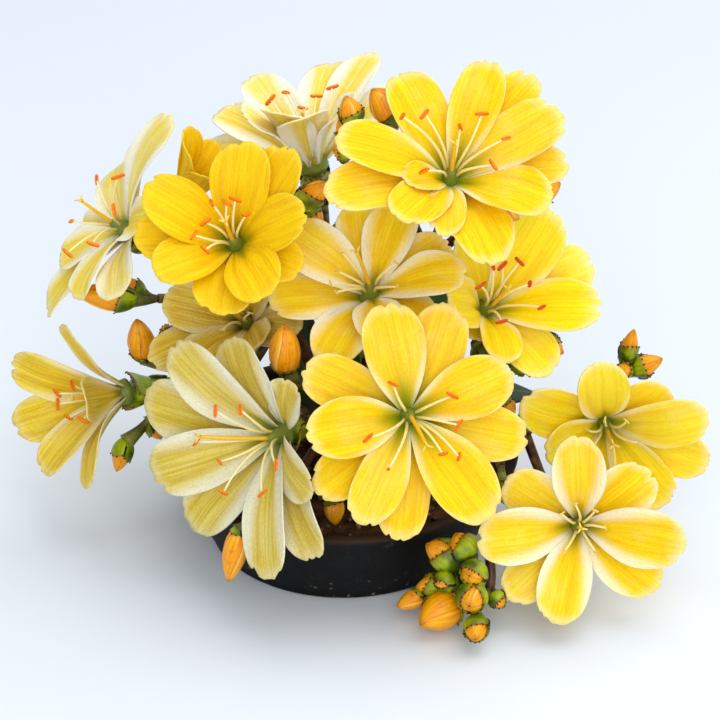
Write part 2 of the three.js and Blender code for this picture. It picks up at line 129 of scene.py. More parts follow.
class Nodes:
    """Builds one material's nodes round its Principled shader."""

    def __init__(self, name: str) -> None:
        """Makes the material.

        Args:
            name: the material's name.
        """
        self.material = bpy.data.materials.new(name)
        self.material.use_nodes = True
        self.tree = self.material.node_tree
        self.shader = self.tree.nodes["Principled BSDF"]

    def set(self, **values: float | Colour | Point) -> None:
        """Sets the shader's own sockets; an underscore in a name stands for a space."""
        for name, value in values.items():
            self.shader.inputs[name.replace("_", " ").title().replace("Ior", "IOR")].default_value = value

    def add(self, kind: str, inputs: dict | None = None, **settings: object) -> bpy.types.Node:
        """Adds a node.

        Args:
            kind: the node's type name without its ShaderNode start.
            inputs: socket name or number to a value or to another node's output.
            settings: attributes of the node.

        Returns:
            The node.
        """
        node = self.tree.nodes.new("ShaderNode" + kind)
        for name, value in settings.items():
            setattr(node, name, value)
        for key, value in (inputs or {}).items():
            if isinstance(value, Socket):
                self.tree.links.new(value, node.inputs[key])
            else:
                node.inputs[key].default_value = value
        return node

    def calc(self, operation: str, first: object, second: object = 0.0, third: object = 0.0) -> Socket:
        """One step of arithmetic on values or outputs."""
        return self.add("Math", {0: first, 1: second, 2: third}, operation=operation).outputs[0]

    def lines(self, across: object, along: object, third: object, wide: float, long: float) -> Socket:
        """A place for noise that is stretched along a blade, moved by a third value."""
        inputs = {0: self.calc("MULTIPLY", across, wide), 1: self.calc("MULTIPLY", along, long), 2: third}
        return self.add("CombineXYZ", inputs).outputs[0]

    def band(self, value: object, low: object, high: object) -> Socket:
        """A soft step from 0 at low to 1 at high."""
        inputs = {"Value": value, "From Min": low, "From Max": high}
        return self.add("MapRange", inputs, interpolation_type="SMOOTHSTEP").outputs["Result"]

    def noise(self, vector: object, scale: float, detail: float = 3.0, rough: float = 0.55) -> Socket:
        """Noise from 0 to 1 at a scale."""
        inputs = {"Vector": vector, "Scale": scale, "Detail": detail, "Roughness": rough}
        return self.add("TexNoise", inputs).outputs["Fac"]

    def mix(self, share: object, first: object, second: object, blend: str = "MIX") -> Socket:
        """One colour over another."""
        node = self.add("Mix", data_type="RGBA", blend_type=blend, clamp_factor=True)
        for index, value in ((0, share), (6, first), (7, second)):
            if isinstance(value, Socket):
                self.tree.links.new(value, node.inputs[index])
            else:
                node.inputs[index].default_value = value
        return node.outputs[2]

    def over(self, base: object, shade: object, mask: object, share: float) -> Socket:
        """A colour over another where a mask is high, up to a share."""
        return self.mix(self.calc("MULTIPLY", mask, share), base, shade)

    def ramp(self, share: object, stops: Sequence[tuple[float, Colour]]) -> Socket:
        """A run of colours along a value."""
        node = self.add("ValToRGB", {"Fac": share})
        points = node.color_ramp.elements
        while len(points) < len(stops):
            points.new(1.0)
        for point, (position, shade) in zip(points, stops):
            point.position = position
            point.color = shade
        return node.outputs["Color"]

    def surface(self) -> tuple[Socket, Socket]:
        """The place across and along a blade, each from 0 to 1."""
        uv = self.add("UVMap", uv_map=UV_NAME)
        split = self.add("SeparateXYZ", {0: uv.outputs[0]})
        return split.outputs[0], split.outputs[1]

    def tint(self) -> Socket:
        """The value that each part of a piece carries for its colour."""
        return self.add("Attribute", attribute_name=TINT_NAME).outputs["Fac"]

    def place(self) -> Socket:
        """The place in the part's frame, in metres."""
        return self.add("TexCoord").outputs["Object"]

    def bump(self, height: object, strength: float, distance: float) -> None:
        """Relief on the shader's normal, its depth in millimetres."""
        inputs = {"Height": height, "Strength": strength, "Distance": distance * MM}
        self.wear("Normal", self.add("Bump", inputs).outputs[0])

    def wear(self, name: str, socket: Socket) -> None:
        """Links an output to one of the shader's sockets."""
        self.tree.links.new(socket, self.shader.inputs[name])


class Finish:
    """What every finish states, and how it becomes a material."""

    name: str
    slot: str

    def material(self) -> bpy.types.Material:
        """Makes the material."""
        n = Nodes(self.name)
        self.paint(n)
        return n.material

    def paint(self, n: Nodes) -> None:
        """Adds the finish's nodes."""
        raise NotImplementedError


@dataclass(frozen=True)
class PetalFinish(Finish):
    """Thin satin petal: green throat, saturated middle, pale margins and fine lengthwise veins."""

    name: str
    slot: str
    centre: Colour
    deep: Colour
    edge: Colour
    heart: Colour
    margin_foot: float = 0.3
    margin_tip: float = 0.95
    edge_share: float = 0.85
    throat: float = 0.3
    glow: float = 0.25
    fade: float = 0.08

    def paint(self, n: Nodes) -> None:
        """Paints by the place across and along the petal."""
        across_uv, along = n.surface()
        tint = n.tint()
        across = n.calc("ABSOLUTE", n.calc("MULTIPLY_ADD", across_uv, 2.0, -1.0))
        fine = n.noise(n.lines(across_uv, along, tint, 40.0, 1.5), 1.0, 3.0, 0.6)
        hair = n.noise(n.lines(across_uv, along, n.calc("MULTIPLY", tint, 5.0), 86.0, 1.3), 1.0, 2.0)
        broad = n.noise(n.lines(across_uv, along, n.calc("MULTIPLY", tint, 9.0), 13.0, 1.1), 1.0, 3.0)
        grain = n.noise(n.place(), 2600.0, 3.0, 0.65)
        veins = n.calc("MULTIPLY_ADD", broad, 0.5, n.calc("MULTIPLY", fine, 0.5))
        streaked = n.calc("MULTIPLY_ADD", n.calc("SUBTRACT", veins, 0.5), 0.55, across)
        foot_to_tip = n.calc("MULTIPLY_ADD", along, self.margin_tip - self.margin_foot, self.margin_foot)
        side = n.band(streaked, foot_to_tip, n.calc("ADD", foot_to_tip, 0.5))
        tip = n.calc("MULTIPLY", n.band(n.calc("MULTIPLY_ADD", veins, 0.08, along), 0.93, 1.04), 0.4)
        rim = n.calc("MULTIPLY", n.calc("MAXIMUM", side, tip), self.edge_share)
        middle = n.mix(n.band(veins, 0.38, 0.62), self.centre, self.deep)
        cloud = n.calc("MULTIPLY", n.band(n.noise(n.place(), 150.0, 2.0), 0.46, 0.7), self.fade)
        paler = n.calc("MULTIPLY_ADD", n.band(tint, 0.35, 1.0), self.fade / 2, cloud)
        middle = n.mix(paler, middle, self.edge)
        pale = n.mix(rim, middle, self.edge)
        pale = n.mix(n.calc("MULTIPLY", n.band(hair, 0.48, 0.7), 0.16), pale, self.deep, "MULTIPLY")
        reach = n.calc("MULTIPLY_ADD", across, 0.16, n.calc("MULTIPLY_ADD", veins, 0.12, along))
        shade = n.mix(n.band(reach, self.throat + 0.14, 0.1), pale, self.heart)
        dust = n.calc("MULTIPLY", n.band(grain, 0.42, 0.78), 0.32)
        n.wear("Base Color", n.mix(dust, shade, self.deep, "MULTIPLY"))
        relief = n.calc("MULTIPLY_ADD", grain, 0.55, n.calc("ADD", fine, n.calc("MULTIPLY", broad, 0.7)))
        n.bump(relief, 0.6, 0.22)
        n.set(roughness=0.5, specular_ior_level=0.16, subsurface_weight=self.glow)
        n.set(subsurface_scale=1.0 * MM, subsurface_radius=(1.0, 0.7, 0.15))


@dataclass(frozen=True)
class ThreadFinish(Finish):
    """Cream filaments that turn pale green at their foot."""

    name: str = "filament"
    slot: str = "stamen"

    def paint(self, n: Nodes) -> None:
        """Paints by how far along its filament a point is."""
        grain = n.noise(n.place(), 1500.0)
        foot, middle, end = colour(176, 178, 84), colour(243, 226, 150), colour(250, 240, 196)
        shade = n.ramp(n.tint(), ((0.0, foot), (0.35, middle), (1.0, end)))
        n.wear("Base Color", n.mix(n.calc("MULTIPLY", grain, 0.2), shade, middle, "MULTIPLY"))
        n.bump(grain, 0.3, 0.05)
        n.set(roughness=0.42, subsurface_weight=0.25, subsurface_scale=0.6 * MM)


@dataclass(frozen=True)
class AntherFinish(Finish):
    """Anthers with a dusty grain and a darker seam."""

    name: str
    body: Colour
    light: Colour
    seam: Colour
    size: float = 1.0
    slot: str = "stamen"

    def paint(self, n: Nodes) -> None:
        """Paints darker where the tint marks the seam."""
        grain = n.noise(n.place(), 5200.0, 3.0, 0.7)
        body = n.mix(n.band(grain, 0.35, 0.7), self.body, self.light)
        n.wear("Base Color", n.over(body, self.seam, n.tint(), 0.8))
        n.bump(grain, 0.7, 0.08)
        n.set(roughness=0.62, specular_ior_level=0.2, subsurface_weight=0.1, subsurface_scale=0.4 * MM)


@dataclass(frozen=True)
class PistilFinish(Finish):
    """Green ovary, golden style and pale stigma."""

    name: str = "pistil"
    slot: str = "stamen"

    def paint(self, n: Nodes) -> None:
        """Paints from the ovary's foot to the stigma's tip."""
        grain = n.noise(n.place(), 1800.0)
        stops = (
            (0.0, colour(112, 128, 38)), (0.3, colour(150, 160, 60)),
            (0.45, colour(240, 190, 30)), (0.8, colour(250, 196, 24)), (1.0, colour(252, 226, 110)),
        )
        shade = n.ramp(n.tint(), stops)
        n.wear("Base Color", n.mix(n.calc("MULTIPLY", grain, 0.25), shade, stops[0][1], "MULTIPLY"))
        n.bump(grain, 0.35, 0.06)
        n.set(roughness=0.4, subsurface_weight=0.2, subsurface_scale=0.8 * MM)


@dataclass(frozen=True)
class BudFinish(Finish):
    """Glossy orange bud petals with lengthwise streaks and yellow edges."""

    name: str = "bud_petal"
    slot: str = "bud"

    def paint(self, n: Nodes) -> None:
        """Paints streaks along each bud petal."""
        across, along = n.surface()
        veins = n.noise(n.lines(across, along, n.tint(), 16.0, 1.5), 1.0, 4.0, 0.6)
        spots = n.noise(n.place(), 900.0, 3.0, 0.6)
        body = n.mix(n.band(veins, 0.36, 0.66), colour(240, 138, 0), colour(252, 184, 6))
        body = n.over(body, colour(196, 88, 0), n.band(spots, 0.5, 0.78), 0.6)
        body = n.over(body, colour(150, 66, 6), n.band(along, 0.86, 1.0), 0.45)
        worn = n.calc("MULTIPLY", n.band(n.tint(), 0.2, 0.9), 0.7)
        rim = n.calc("MULTIPLY", n.band(across, 0.8, 1.0), worn)
        n.wear("Base Color", n.mix(rim, body, colour(255, 216, 104)))
        n.bump(n.calc("MULTIPLY_ADD", spots, 0.4, veins), 0.5, 0.16)
        n.set(roughness=0.36, specular_ior_level=0.3, subsurface_weight=0.1, subsurface_scale=0.8 * MM)
        n.set(subsurface_radius=(1.0, 0.6, 0.1), coat_weight=0.06, coat_roughness=0.3)


@dataclass(frozen=True)
class SepalFinish(Finish):
    """Fleshy green sepals and bracts, veined, with dark teeth."""

    name: str = "sepal"
    slot: str = "sepal"

    def paint(self, n: Nodes) -> None:
        """Paints lime to deep green, and the teeth where the tint marks them."""
        across, along = n.surface()
        veins = n.noise(n.lines(across, along, 0.0, 11.0, 1.0), 1.0, 3.0, 0.5)
        patches = n.noise(n.place(), 260.0, 2.0, 0.5)
        body = n.mix(n.band(patches, 0.38, 0.62), colour(70, 94, 2), colour(168, 186, 8))
        body = n.over(body, colour(58, 82, 16), n.band(veins, 0.5, 0.72), 0.5)
        ends = n.band(n.calc("ADD", along, n.calc("MULTIPLY", patches, 0.3)), 0.9, 1.2)
        body = n.over(body, colour(136, 84, 24), ends, 0.6)
        n.wear("Base Color", n.mix(n.band(n.tint(), 0.4, 0.6), body, colour(40, 14, 8)))
        n.bump(veins, 0.45, 0.15)
        n.set(roughness=0.36, specular_ior_level=0.35, subsurface_weight=0.1, subsurface_scale=0.9 * MM)
        n.set(coat_weight=0.05, coat_roughness=0.2)


@dataclass(frozen=True)
class StalkFinish(Finish):
    """Maroon-brown stalks that turn green towards the flowers."""

    name: str = "stalk"
    slot: str = "stalk"

    def paint(self, n: Nodes) -> None:
        """Paints greener where the tint is high."""
        mottle = n.noise(n.place(), 420.0, 4.0, 0.6)
        fine = n.noise(n.place(), 2400.0, 3.0, 0.6)
        brown = n.mix(n.band(mottle, 0.35, 0.65), colour(58, 26, 20), colour(104, 62, 34))
        green = n.mix(n.band(mottle, 0.4, 0.65), colour(84, 92, 28), colour(132, 134, 50))
        turn = n.calc("ADD", n.tint(), n.calc("MULTIPLY", n.calc("SUBTRACT", mottle, 0.5), 0.9))
        n.wear("Base Color", n.mix(n.band(turn, 0.35, 0.85), brown, green))
        n.bump(n.calc("ADD", mottle, n.calc("MULTIPLY", fine, 0.4)), 0.5, 0.15)
        n.set(roughness=0.45, specular_ior_level=0.45, subsurface_weight=0.05, subsurface_scale=0.8 * MM)


@dataclass(frozen=True)
class LeafFinish(Finish):
    """Waxy deep green leaves with paler midribs and bronze margins."""

    name: str = "leaf"
    slot: str = "leaf"

    def paint(self, n: Nodes) -> None:
        """Paints by the place across and along the leaf."""
        across_uv, along = n.surface()
        across = n.calc("ABSOLUTE", n.calc("SUBTRACT", across_uv, 0.5))
        patches = n.noise(n.place(), 170.0, 3.0, 0.55)
        fine = n.noise(n.place(), 1300.0, 4.0, 0.6)
        body = n.mix(n.band(patches, 0.35, 0.7), colour(26, 52, 18), colour(58, 88, 30))
        body = n.over(body, colour(104, 126, 58), n.band(across, 0.07, 0.0), 0.35)
        body = n.over(body, colour(118, 68, 40), n.band(across, 0.40, 0.5), 0.6)
        body = n.mix(n.band(along, 0.16, 0.0), body, colour(112, 96, 60))
        n.wear("Base Color", n.mix(n.calc("MULTIPLY", fine, 0.25), body, colour(60, 90, 40), "MULTIPLY"))
        n.bump(n.calc("ADD", patches, n.calc("MULTIPLY", fine, 0.3)), 0.35, 0.3)
        n.set(roughness=0.45, specular_ior_level=0.3, subsurface_weight=0.06, subsurface_scale=1.5 * MM)


@dataclass(frozen=True)
class GroundFinish(Finish):
    """Rough natural ground stuff in two shades, such as soil, grit or bark."""

    name: str
    slot: str
    dark: Colour
    light: Colour
    scale: float
    depth: float

    def paint(self, n: Nodes) -> None:
        """Paints by places in the part's frame."""
        clumps = n.noise(n.place(), self.scale, 6.0, 0.65)
        fine = n.noise(n.place(), self.scale * 6, 4.0, 0.7)
        body = n.mix(n.band(clumps, 0.35, 0.68), self.dark, self.light)
        n.wear("Base Color", n.over(body, self.dark, n.band(fine, 0.45, 0.8), 0.5))
        n.bump(n.calc("ADD", clumps, n.calc("MULTIPLY", fine, 0.5)), 0.9, self.depth)
        n.set(roughness=0.92, specular_ior_level=0.2)


@dataclass(frozen=True)
class PotFinish(Finish):
    """Satin blue-black pot with dust, scuffs and a rim worn brown by soil."""

    height: float
    name: str = "pot_wall"
    slot: str = "pot"

    def paint(self, n: Nodes) -> None:
        """Paints wear by height, and specks and scuffs by noise."""
        place = n.place()
        high = n.add("SeparateXYZ", {0: place}).outputs[2]
        cloud = n.noise(place, 90.0, 5.0, 0.6)
        fine = n.noise(place, 1500.0, 4.0, 0.65)
        scuff = n.noise(n.add("Mapping", {0: place, 3: (1.0, 1.0, 0.22)}).outputs[0], 420.0, 5.0, 0.7)
        body = n.mix(n.band(cloud, 0.3, 0.7), colour(3, 3, 4), colour(11, 12, 13))
        body = n.over(body, colour(70, 68, 62), n.band(scuff, 0.58, 0.74), 0.4)
        top, rim = (self.height - 1.5) * MM, (self.height - 0.2) * MM
        worn = n.calc("MULTIPLY", n.band(high, top, rim), n.band(cloud, 0.25, 0.6))
        body = n.over(body, colour(72, 50, 34), worn, 0.6)
        specks = n.add("TexVoronoi", {"Vector": place, "Scale": 620.0}, feature="F1").outputs["Distance"]
        low = n.calc("MULTIPLY", n.band(high, 7.0 * MM, 0.0), n.band(cloud, 0.42, 0.6))
        dirt = n.calc("MULTIPLY", n.band(specks, 0.24, 0.1), low)
        body = n.mix(dirt, body, colour(176, 150, 118))
        n.wear("Base Color", body)
        n.wear("Roughness", n.add("MapRange", {"Value": scuff, "To Min": 0.42, "To Max": 0.7}).outputs[0])
        n.bump(n.calc("ADD", cloud, n.calc("MULTIPLY", fine, 0.35)), 0.4, 0.35)
        n.set(specular_ior_level=0.12)


@dataclass(frozen=True)
class FloorFinish(Finish):
    """Plain pale floor."""

    shade: Colour = colour(229, 235, 243)
    name: str = "floor"

    def paint(self, n: Nodes) -> None:
        """Paints it in one shade."""
        n.set(base_color=self.shade, roughness=0.75, specular_ior_level=0.2)


class Wardrobe:
    """Makes each finish's material once and hands it out."""

    def __init__(self) -> None:
        """Starts with nothing made."""
        self.made: dict[str, bpy.types.Material] = {}

    def wear(self, finish: Finish) -> bpy.types.Material:
        """The material of a finish."""
        if finish.name not in self.made:
            self.made[finish.name] = finish.material()
        return self.made[finish.name]


WARDROBE = Wardrobe()


class Piece:
    """One visible piece: a mesh under way, and the object that it becomes."""

    def __init__(self, name: str) -> None:
        """Starts an empty mesh.

        Args:
            name: the object's name.
        """
        self.name = name
        self.bm = bmesh.new()
        self.uv = self.bm.loops.layers.uv.new(UV_NAME)
        self.tint = self.bm.verts.layers.float.new(TINT_NAME)

    def sheet(
        self, columns: int, rows: int, place: Place, matrix: Matrix, wall: float, tint: float = 0.0,
    ) -> None:
        """Adds a curved sheet with a wall thickness.

        Args:
            columns: faces across.
            rows: faces along.
            place: gives the point for across from -1 to 1 and along from 0 to 1.
            matrix: turns and moves the sheet into the part's frame.
            wall: how thick the sheet is.
            tint: the value that the whole sheet carries.
        """
        made = bmesh.ops.create_grid(self.bm, x_segments=columns, y_segments=rows, size=1.0)["verts"]
        faces = list({f for v in made for f in v.link_faces})
        for vert in made:
            vert.co.x = math.sin(math.pi / 2 * max(-1.0, min(1.0, vert.co.x)))
        for face in faces:
            face.smooth = True
            for loop in face.loops:
                loop[self.uv].uv = ((loop.vert.co.x + 1) / 2, (loop.vert.co.y + 1) / 2)
        for vert in made:
            vert[self.tint] = tint
            vert.co = matrix @ place(vert.co.x, (vert.co.y + 1) / 2)
        for face in faces:
            face.normal_update()
        for vert in made:
            vert.normal_update()
        inward = [(vert, vert.normal * -wall) for vert in made]
        front = bmesh.ops.extrude_face_region(self.bm, geom=faces, use_keep_orig=True)["geom"]
        for vert, step in inward:
            vert.co += step
        corners = made + [part for part in front if isinstance(part, bmesh.types.BMVert)]
        shell = list({face for vert in corners for face in vert.link_faces})
        bmesh.ops.recalc_face_normals(self.bm, faces=shell)

    def tube(
        self, route: Sequence[Vector], radii: Sequence[float], sides: int, tints: Sequence[float],
    ) -> None:
        """Adds a round tube with closed ends.

        Args:
            route: the points that it follows, in the part's frame.
            radii: its radius at each point.
            sides: how many sides it has.
            tints: the value that each ring carries.
        """
        turn = Vector((0, 0, 1)).rotation_difference(route[1] - route[0])
        rings = []
        for i, (point, radius, tint) in enumerate(zip(route, radii, tints)):
            ahead = route[min(i + 1, len(route) - 1)] - route[max(i - 1, 0)]
            turn = (turn @ Vector((0, 0, 1))).rotation_difference(ahead) @ turn
            matrix = Matrix.Translation(point) @ turn.to_matrix().to_4x4()
            ends = i in (0, len(route) - 1)
            ring = bmesh.ops.create_circle(
                self.bm, cap_ends=ends, segments=sides, radius=radius, matrix=matrix
            )
            for vert in ring["verts"]:
                vert[self.tint] = tint
            rings.append(list({e for v in ring["verts"] for e in v.link_edges}))
        skin = set()
        for lower, upper in zip(rings, rings[1:]):
            skin.update(bmesh.ops.bridge_loops(self.bm, edges=lower + upper)["faces"])
        for face in skin:
            face.smooth = True

    def ball(self, matrix: Matrix, tint: float, detail: int = 1) -> None:
        """Adds a small round body."""
        made = bmesh.ops.create_icosphere(self.bm, subdivisions=detail, radius=1.0, matrix=matrix)["verts"]
        self.dress(made, tint)

    def anther(self, matrix: Matrix, half_length: float, radius: float) -> None:
        """Adds an anther along the frame's Z axis: two lobes with a dark seam between them."""
        made = bmesh.ops.create_uvsphere(self.bm, u_segments=12, v_segments=8, radius=1.0)["verts"]
        self.dress(made, 0.0)
        for vert in made:
            side = math.hypot(vert.co.x, vert.co.y)
            groove = abs(vert.co.x) / side if side > 1e-6 else 0.0
            vert[self.tint] = 1.0 - smooth(0.1, 0.55, groove)
            full = radius * (1 - abs(vert.co.z) ** 4) ** 0.3 / max(side, 0.35) * (0.62 + 0.38 * groove)
            bow = 0.28 * radius * vert.co.z**2
            vert.co = matrix @ Vector((vert.co.x * full, vert.co.y * full + bow, vert.co.z * half_length))

    def turned(
        self, profile: Sequence[tuple[float, float]], sides: int, matrix: Matrix, tint: float = 0.0,
    ) -> None:
        """Adds a turned body whose profile of (radius, height) starts and ends on the axis."""
        before = set(self.bm.verts)
        points = [self.bm.verts.new((radius, 0, height)) for radius, height in profile]
        edges = [self.bm.edges.new(pair) for pair in zip(points, points[1:])]
        bmesh.ops.spin(
            self.bm, geom=points + edges, axis=(0, 0, 1), cent=(0, 0, 0), steps=sides,
            angle=2 * math.pi, use_merge=True, use_duplicate=False,
        )
        spun = [v for v in self.bm.verts if v not in before]
        bmesh.ops.remove_doubles(self.bm, verts=spun, dist=1e-4)
        made = [v for v in self.bm.verts if v not in before]
        self.dress(made, tint)
        for vert in made:
            vert.co = matrix @ vert.co

    def dress(self, made: Iterable[bmesh.types.BMVert], tint: float) -> None:
        """Gives new points their tint and smooth faces."""
        for vert in made:
            vert[self.tint] = tint
            for face in vert.link_faces:
                face.smooth = True

    def finish(self, finish: Finish, nodes: Sequence[str]) -> bpy.types.Object:
        """Turns the mesh into an object that rides on the part.

        Args:
            finish: the piece's finish.
            nodes: the CAD nodes that it stands for.

        Returns:
            The object.
        """
        bmesh.ops.recalc_face_normals(self.bm, faces=self.bm.faces)
        bmesh.ops.scale(self.bm, vec=(MM, MM, MM), verts=self.bm.verts)
        mesh = bpy.data.meshes.new(self.name)
        self.bm.to_mesh(mesh)
        self.bm.free()
        mesh.materials.append(WARDROBE.wear(finish))
        piece = bpy.data.objects.new(self.name, mesh)
        bpy.context.scene.collection.objects.link(piece)
        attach(piece, BODY)
        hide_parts(*nodes)
        log.info("%s: %d faces for %s", self.name, len(mesh.polygons), ", ".join(nodes))
        return piece


@dataclass(frozen=True)
class Arc:
    """A blade's run: how long it is, and how its lift turns evenly from foot to tip."""

    length: float
    first: float
    last: float

    def at(self, along: float) -> tuple[float, float, float]:
        """How far out and up the blade is at a place along it, and its lift there in radians."""
        first, turn = math.radians(self.first), math.radians(self.last - self.first)
        lift = first + turn * along
        reach = self.length * (math.sin(lift) - math.sin(first)) / turn
        rise = self.length * (math.cos(first) - math.cos(lift)) / turn
        return reach, rise, lift


@dataclass
class Blade:
    """The outline and relief of one petal, sepal or bract in its own upright frame."""

    arc: Arc
    width: float
    start: float
    height: float
    clock: float
    seed: str
    claw: float = 0.16
    widest: float = 0.64
    tip_round: float = 0.33
    cup: float = 0.16
    notches: int = 2
    ripple: float = 0.4
    ridge: float = 0.1
    curl: float = 0.6
    crease: float = 0.45

    def __post_init__(self) -> None:
        """Draws what differs from one blade to the next."""
        draw = random.Random(self.seed)
        self.cuts = [
            (draw.uniform(-0.62, 0.62), draw.uniform(0.07, 0.17), draw.uniform(0.012, 0.042))
            for _ in range(self.notches)
        ]
        self.phase = draw.uniform(0, 2 * math.pi)
        self.waves = draw.uniform(1.1, 1.9)
        self.bend = draw.uniform(-self.curl, self.curl)
        self.sweep = draw.uniform(-0.035, 0.035)
        self.skew = draw.uniform(-0.03, 0.03)
        self.twist = draw.uniform(-0.14, 0.14)
        self.tint = draw.random()
        self.blunt = self.tip_round * draw.uniform(0.82, 1.15)
        self.turn = Matrix.Rotation(-math.radians(self.clock), 3, "Z")

    def end(self, across: float) -> float:
        """How far out the blade reaches at a place across it, as a share of its length."""
        side = min(1.0, abs(across))
        rounded = 1 - self.blunt * (1 - (1 - side**TIP_POWER) ** (1 / TIP_POWER))
        cut = sum(
            depth * (0.5 + 0.5 * math.cos(math.pi * min(1.0, abs(across - place) / wide)))
            for place, wide, depth in self.cuts
        )
        frill = 0.004 * math.sin(11 * across + self.phase) + 0.0015 * math.sin(29 * across - self.phase)
        return rounded + self.skew * across - cut + frill

    def half(self, along: float) -> float:
        """Half the blade's width at a place along it."""
        opened = math.sin(math.pi / 2 * min(1.0, along / self.widest)) ** 1.25
        return self.width / 2 * (self.claw + (1 - self.claw) * opened)

    def relief(self, across: float, along: float) -> float:
        """How far the blade's surface stands off its arc."""
        side = abs(across)
        cupped = self.cup * self.half(along) * across * across
        channel = self.crease * math.exp(-((across / 0.24) ** 2)) * (1 - along) * smooth(0.0, 0.2, along)
        ridges = self.ridge * math.cos(11 * across + self.phase) * math.sin(math.pi * min(1.0, along * 1.1))
        edge = self.ripple * side**3 * math.sin(2 * math.pi * self.waves * along + self.phase) * along
        lean = self.twist * across * self.half(along) * along
        tip = self.bend * smooth(0.55, 1.0, along) ** 2
        return cupped - channel + ridges + edge + lean + tip

    def place(self, across: float, along: float) -> Vector:
        """The blade's point for across from -1 to 1 and along from 0 to 1."""
        reached = along * self.end(across)
        reach, rise, lift = self.arc.at(reached)
        raised = self.relief(across, reached)
        x = across * self.half(reached) + self.sweep * self.arc.length * reached * reached
        y = self.start + reach - math.sin(lift) * raised
        z = self.height + rise + math.cos(lift) * raised
        return self.turn @ Vector((x, y, z))


def teeth(piece: Piece, place: Place, matrix: Matrix, count: int, size: float, first: float = 0.4) -> None:
    """Adds a row of small dark teeth round a blade's free edge.

    Args:
        piece: the piece that takes them.
        place: the blade's surface.
        matrix: the blade's frame.
        count: how many teeth on each side and round the tip.
        size: a tooth's half length.
        first: where along the blade they begin.
    """
    sides = [(side, first + (0.97 - first) * i / count) for side in (-1, 1) for i in range(count)]
    round_tip = [(-0.95 + 1.9 * i / count, 1.0) for i in range(count + 1)]
    for across, along in sides + round_tip:
        point = place(across, along)
        outward = (point - place(across * 0.8, along - 0.06)).normalized()
        turn = Vector((0, 0, 1)).rotation_difference(outward).to_matrix().to_4x4()
        scale = Matrix.Diagonal((size * 0.6, size * 0.6, size, 1))
        piece.ball(matrix @ Matrix.Translation(point + outward * size * 0.5) @ turn @ scale, 1.0)


def facing(heart: Point, faces: tuple[float, float]) -> Matrix:
    """The frame of a flower: +Z the way it faces, +Y its top."""
    azimuth, elevation = (math.radians(a) for a in faces)
    turn = Matrix.Rotation(azimuth, 4, "Z") @ Matrix.Rotation(math.pi / 2 - elevation, 4, "X")
    return Matrix.Translation(heart) @ turn


def bract(piece: Piece, frame: Matrix, arc: Arc, **shape: float | str) -> None:
    """Adds a small pointed bract with dark teeth.

    Args:
        piece: the piece that takes it.
        frame: where it stands.
        arc: its run.
        shape: the rest of its blade.
    """
    blade = Blade(
        arc, claw=0.6, widest=0.4, tip_round=0.7, cup=0.3, notches=0, ridge=0.02, crease=0.0, **shape,
    )
    piece.sheet(8, 8, blade.place, frame, SEPAL_WALL)
    teeth(piece, blade.place, frame, 4, 0.16)


class Shade(Enum):
    """The petal colours of the plant's flowers, from fresh to faded; the straw palette is also darkened and
    greyed as painted shade.
    """

    BRIGHT = PetalFinish(
        "petal_bright", "petal_bright", colour(255, 220, 4), colour(250, 194, 0), colour(255, 250, 208),
        colour(132, 150, 8), 0.34, 0.98, 0.88, 0.42,
    )
    LEMON = PetalFinish(
        "petal_lemon", "petal_bright", colour(255, 232, 16), colour(255, 210, 0), colour(255, 252, 220),
        colour(150, 164, 14), 0.36, 0.94, 0.88, 0.36,
    )
    DEEP = PetalFinish(
        "petal_deep", "petal_bright", colour(252, 212, 0), colour(240, 188, 0), colour(252, 230, 110),
        colour(132, 140, 4), 0.5, 1.35, 0.5, 0.36, fade=0.03,
    )
    # Straw: the pale palette made darker and greyer, partly the flower's own dull tone and partly painted
    # shade for a flower that sits in shade.
    SHADED_STRAW = PetalFinish(
        "petal_straw", "petal_straw", colour(228, 206, 104), colour(204, 174, 36), colour(236, 232, 206),
        colour(124, 134, 36), 0.06, 0.5, 0.95, 0.28,
    )
    GOLD = PetalFinish(
        "petal_gold", "petal_gold", colour(255, 222, 34), colour(248, 198, 2), colour(255, 250, 224),
        colour(144, 148, 20), 0.2, 0.62, 0.95, 0.3,
    )
    PALE = PetalFinish(
        "petal_pale", "petal_pale", colour(255, 232, 110), colour(244, 204, 24), colour(255, 252, 232),
        colour(156, 156, 40), 0.12, 0.5, 0.95, 0.2, fade=0.2,
    )
    OCHRE = PetalFinish(
        "petal_ochre", "petal_pale", colour(244, 214, 60), colour(214, 174, 8), colour(252, 242, 196),
        colour(140, 136, 24), 0.18, 0.72, 0.85, 0.24,
    )
    CREAM = PetalFinish(
        "petal_cream", "petal_pale", colour(255, 238, 130), colour(252, 210, 50), colour(255, 253, 238),
        colour(170, 166, 60), 0.06, 0.36, 0.97, 0.2, fade=0.2,
    )
    KHAKI = PetalFinish(
        "petal_khaki", "petal_khaki", colour(240, 214, 90), colour(204, 164, 12), colour(248, 238, 196),
        colour(96, 74, 18), 0.2, 0.7, 0.88,
    )


class Anthers(Enum):
    """The anthers from just opened to empty."""

    RED = AntherFinish("anther_red", colour(216, 70, 10), colour(240, 116, 30), colour(160, 40, 8))
    ORANGE = AntherFinish("anther_orange", colour(236, 112, 4), colour(255, 164, 36), colour(192, 60, 6))
    EMPTY = AntherFinish(
        "anther_empty", colour(226, 196, 90), colour(250, 230, 150), colour(190, 150, 60), 0.55,
    )


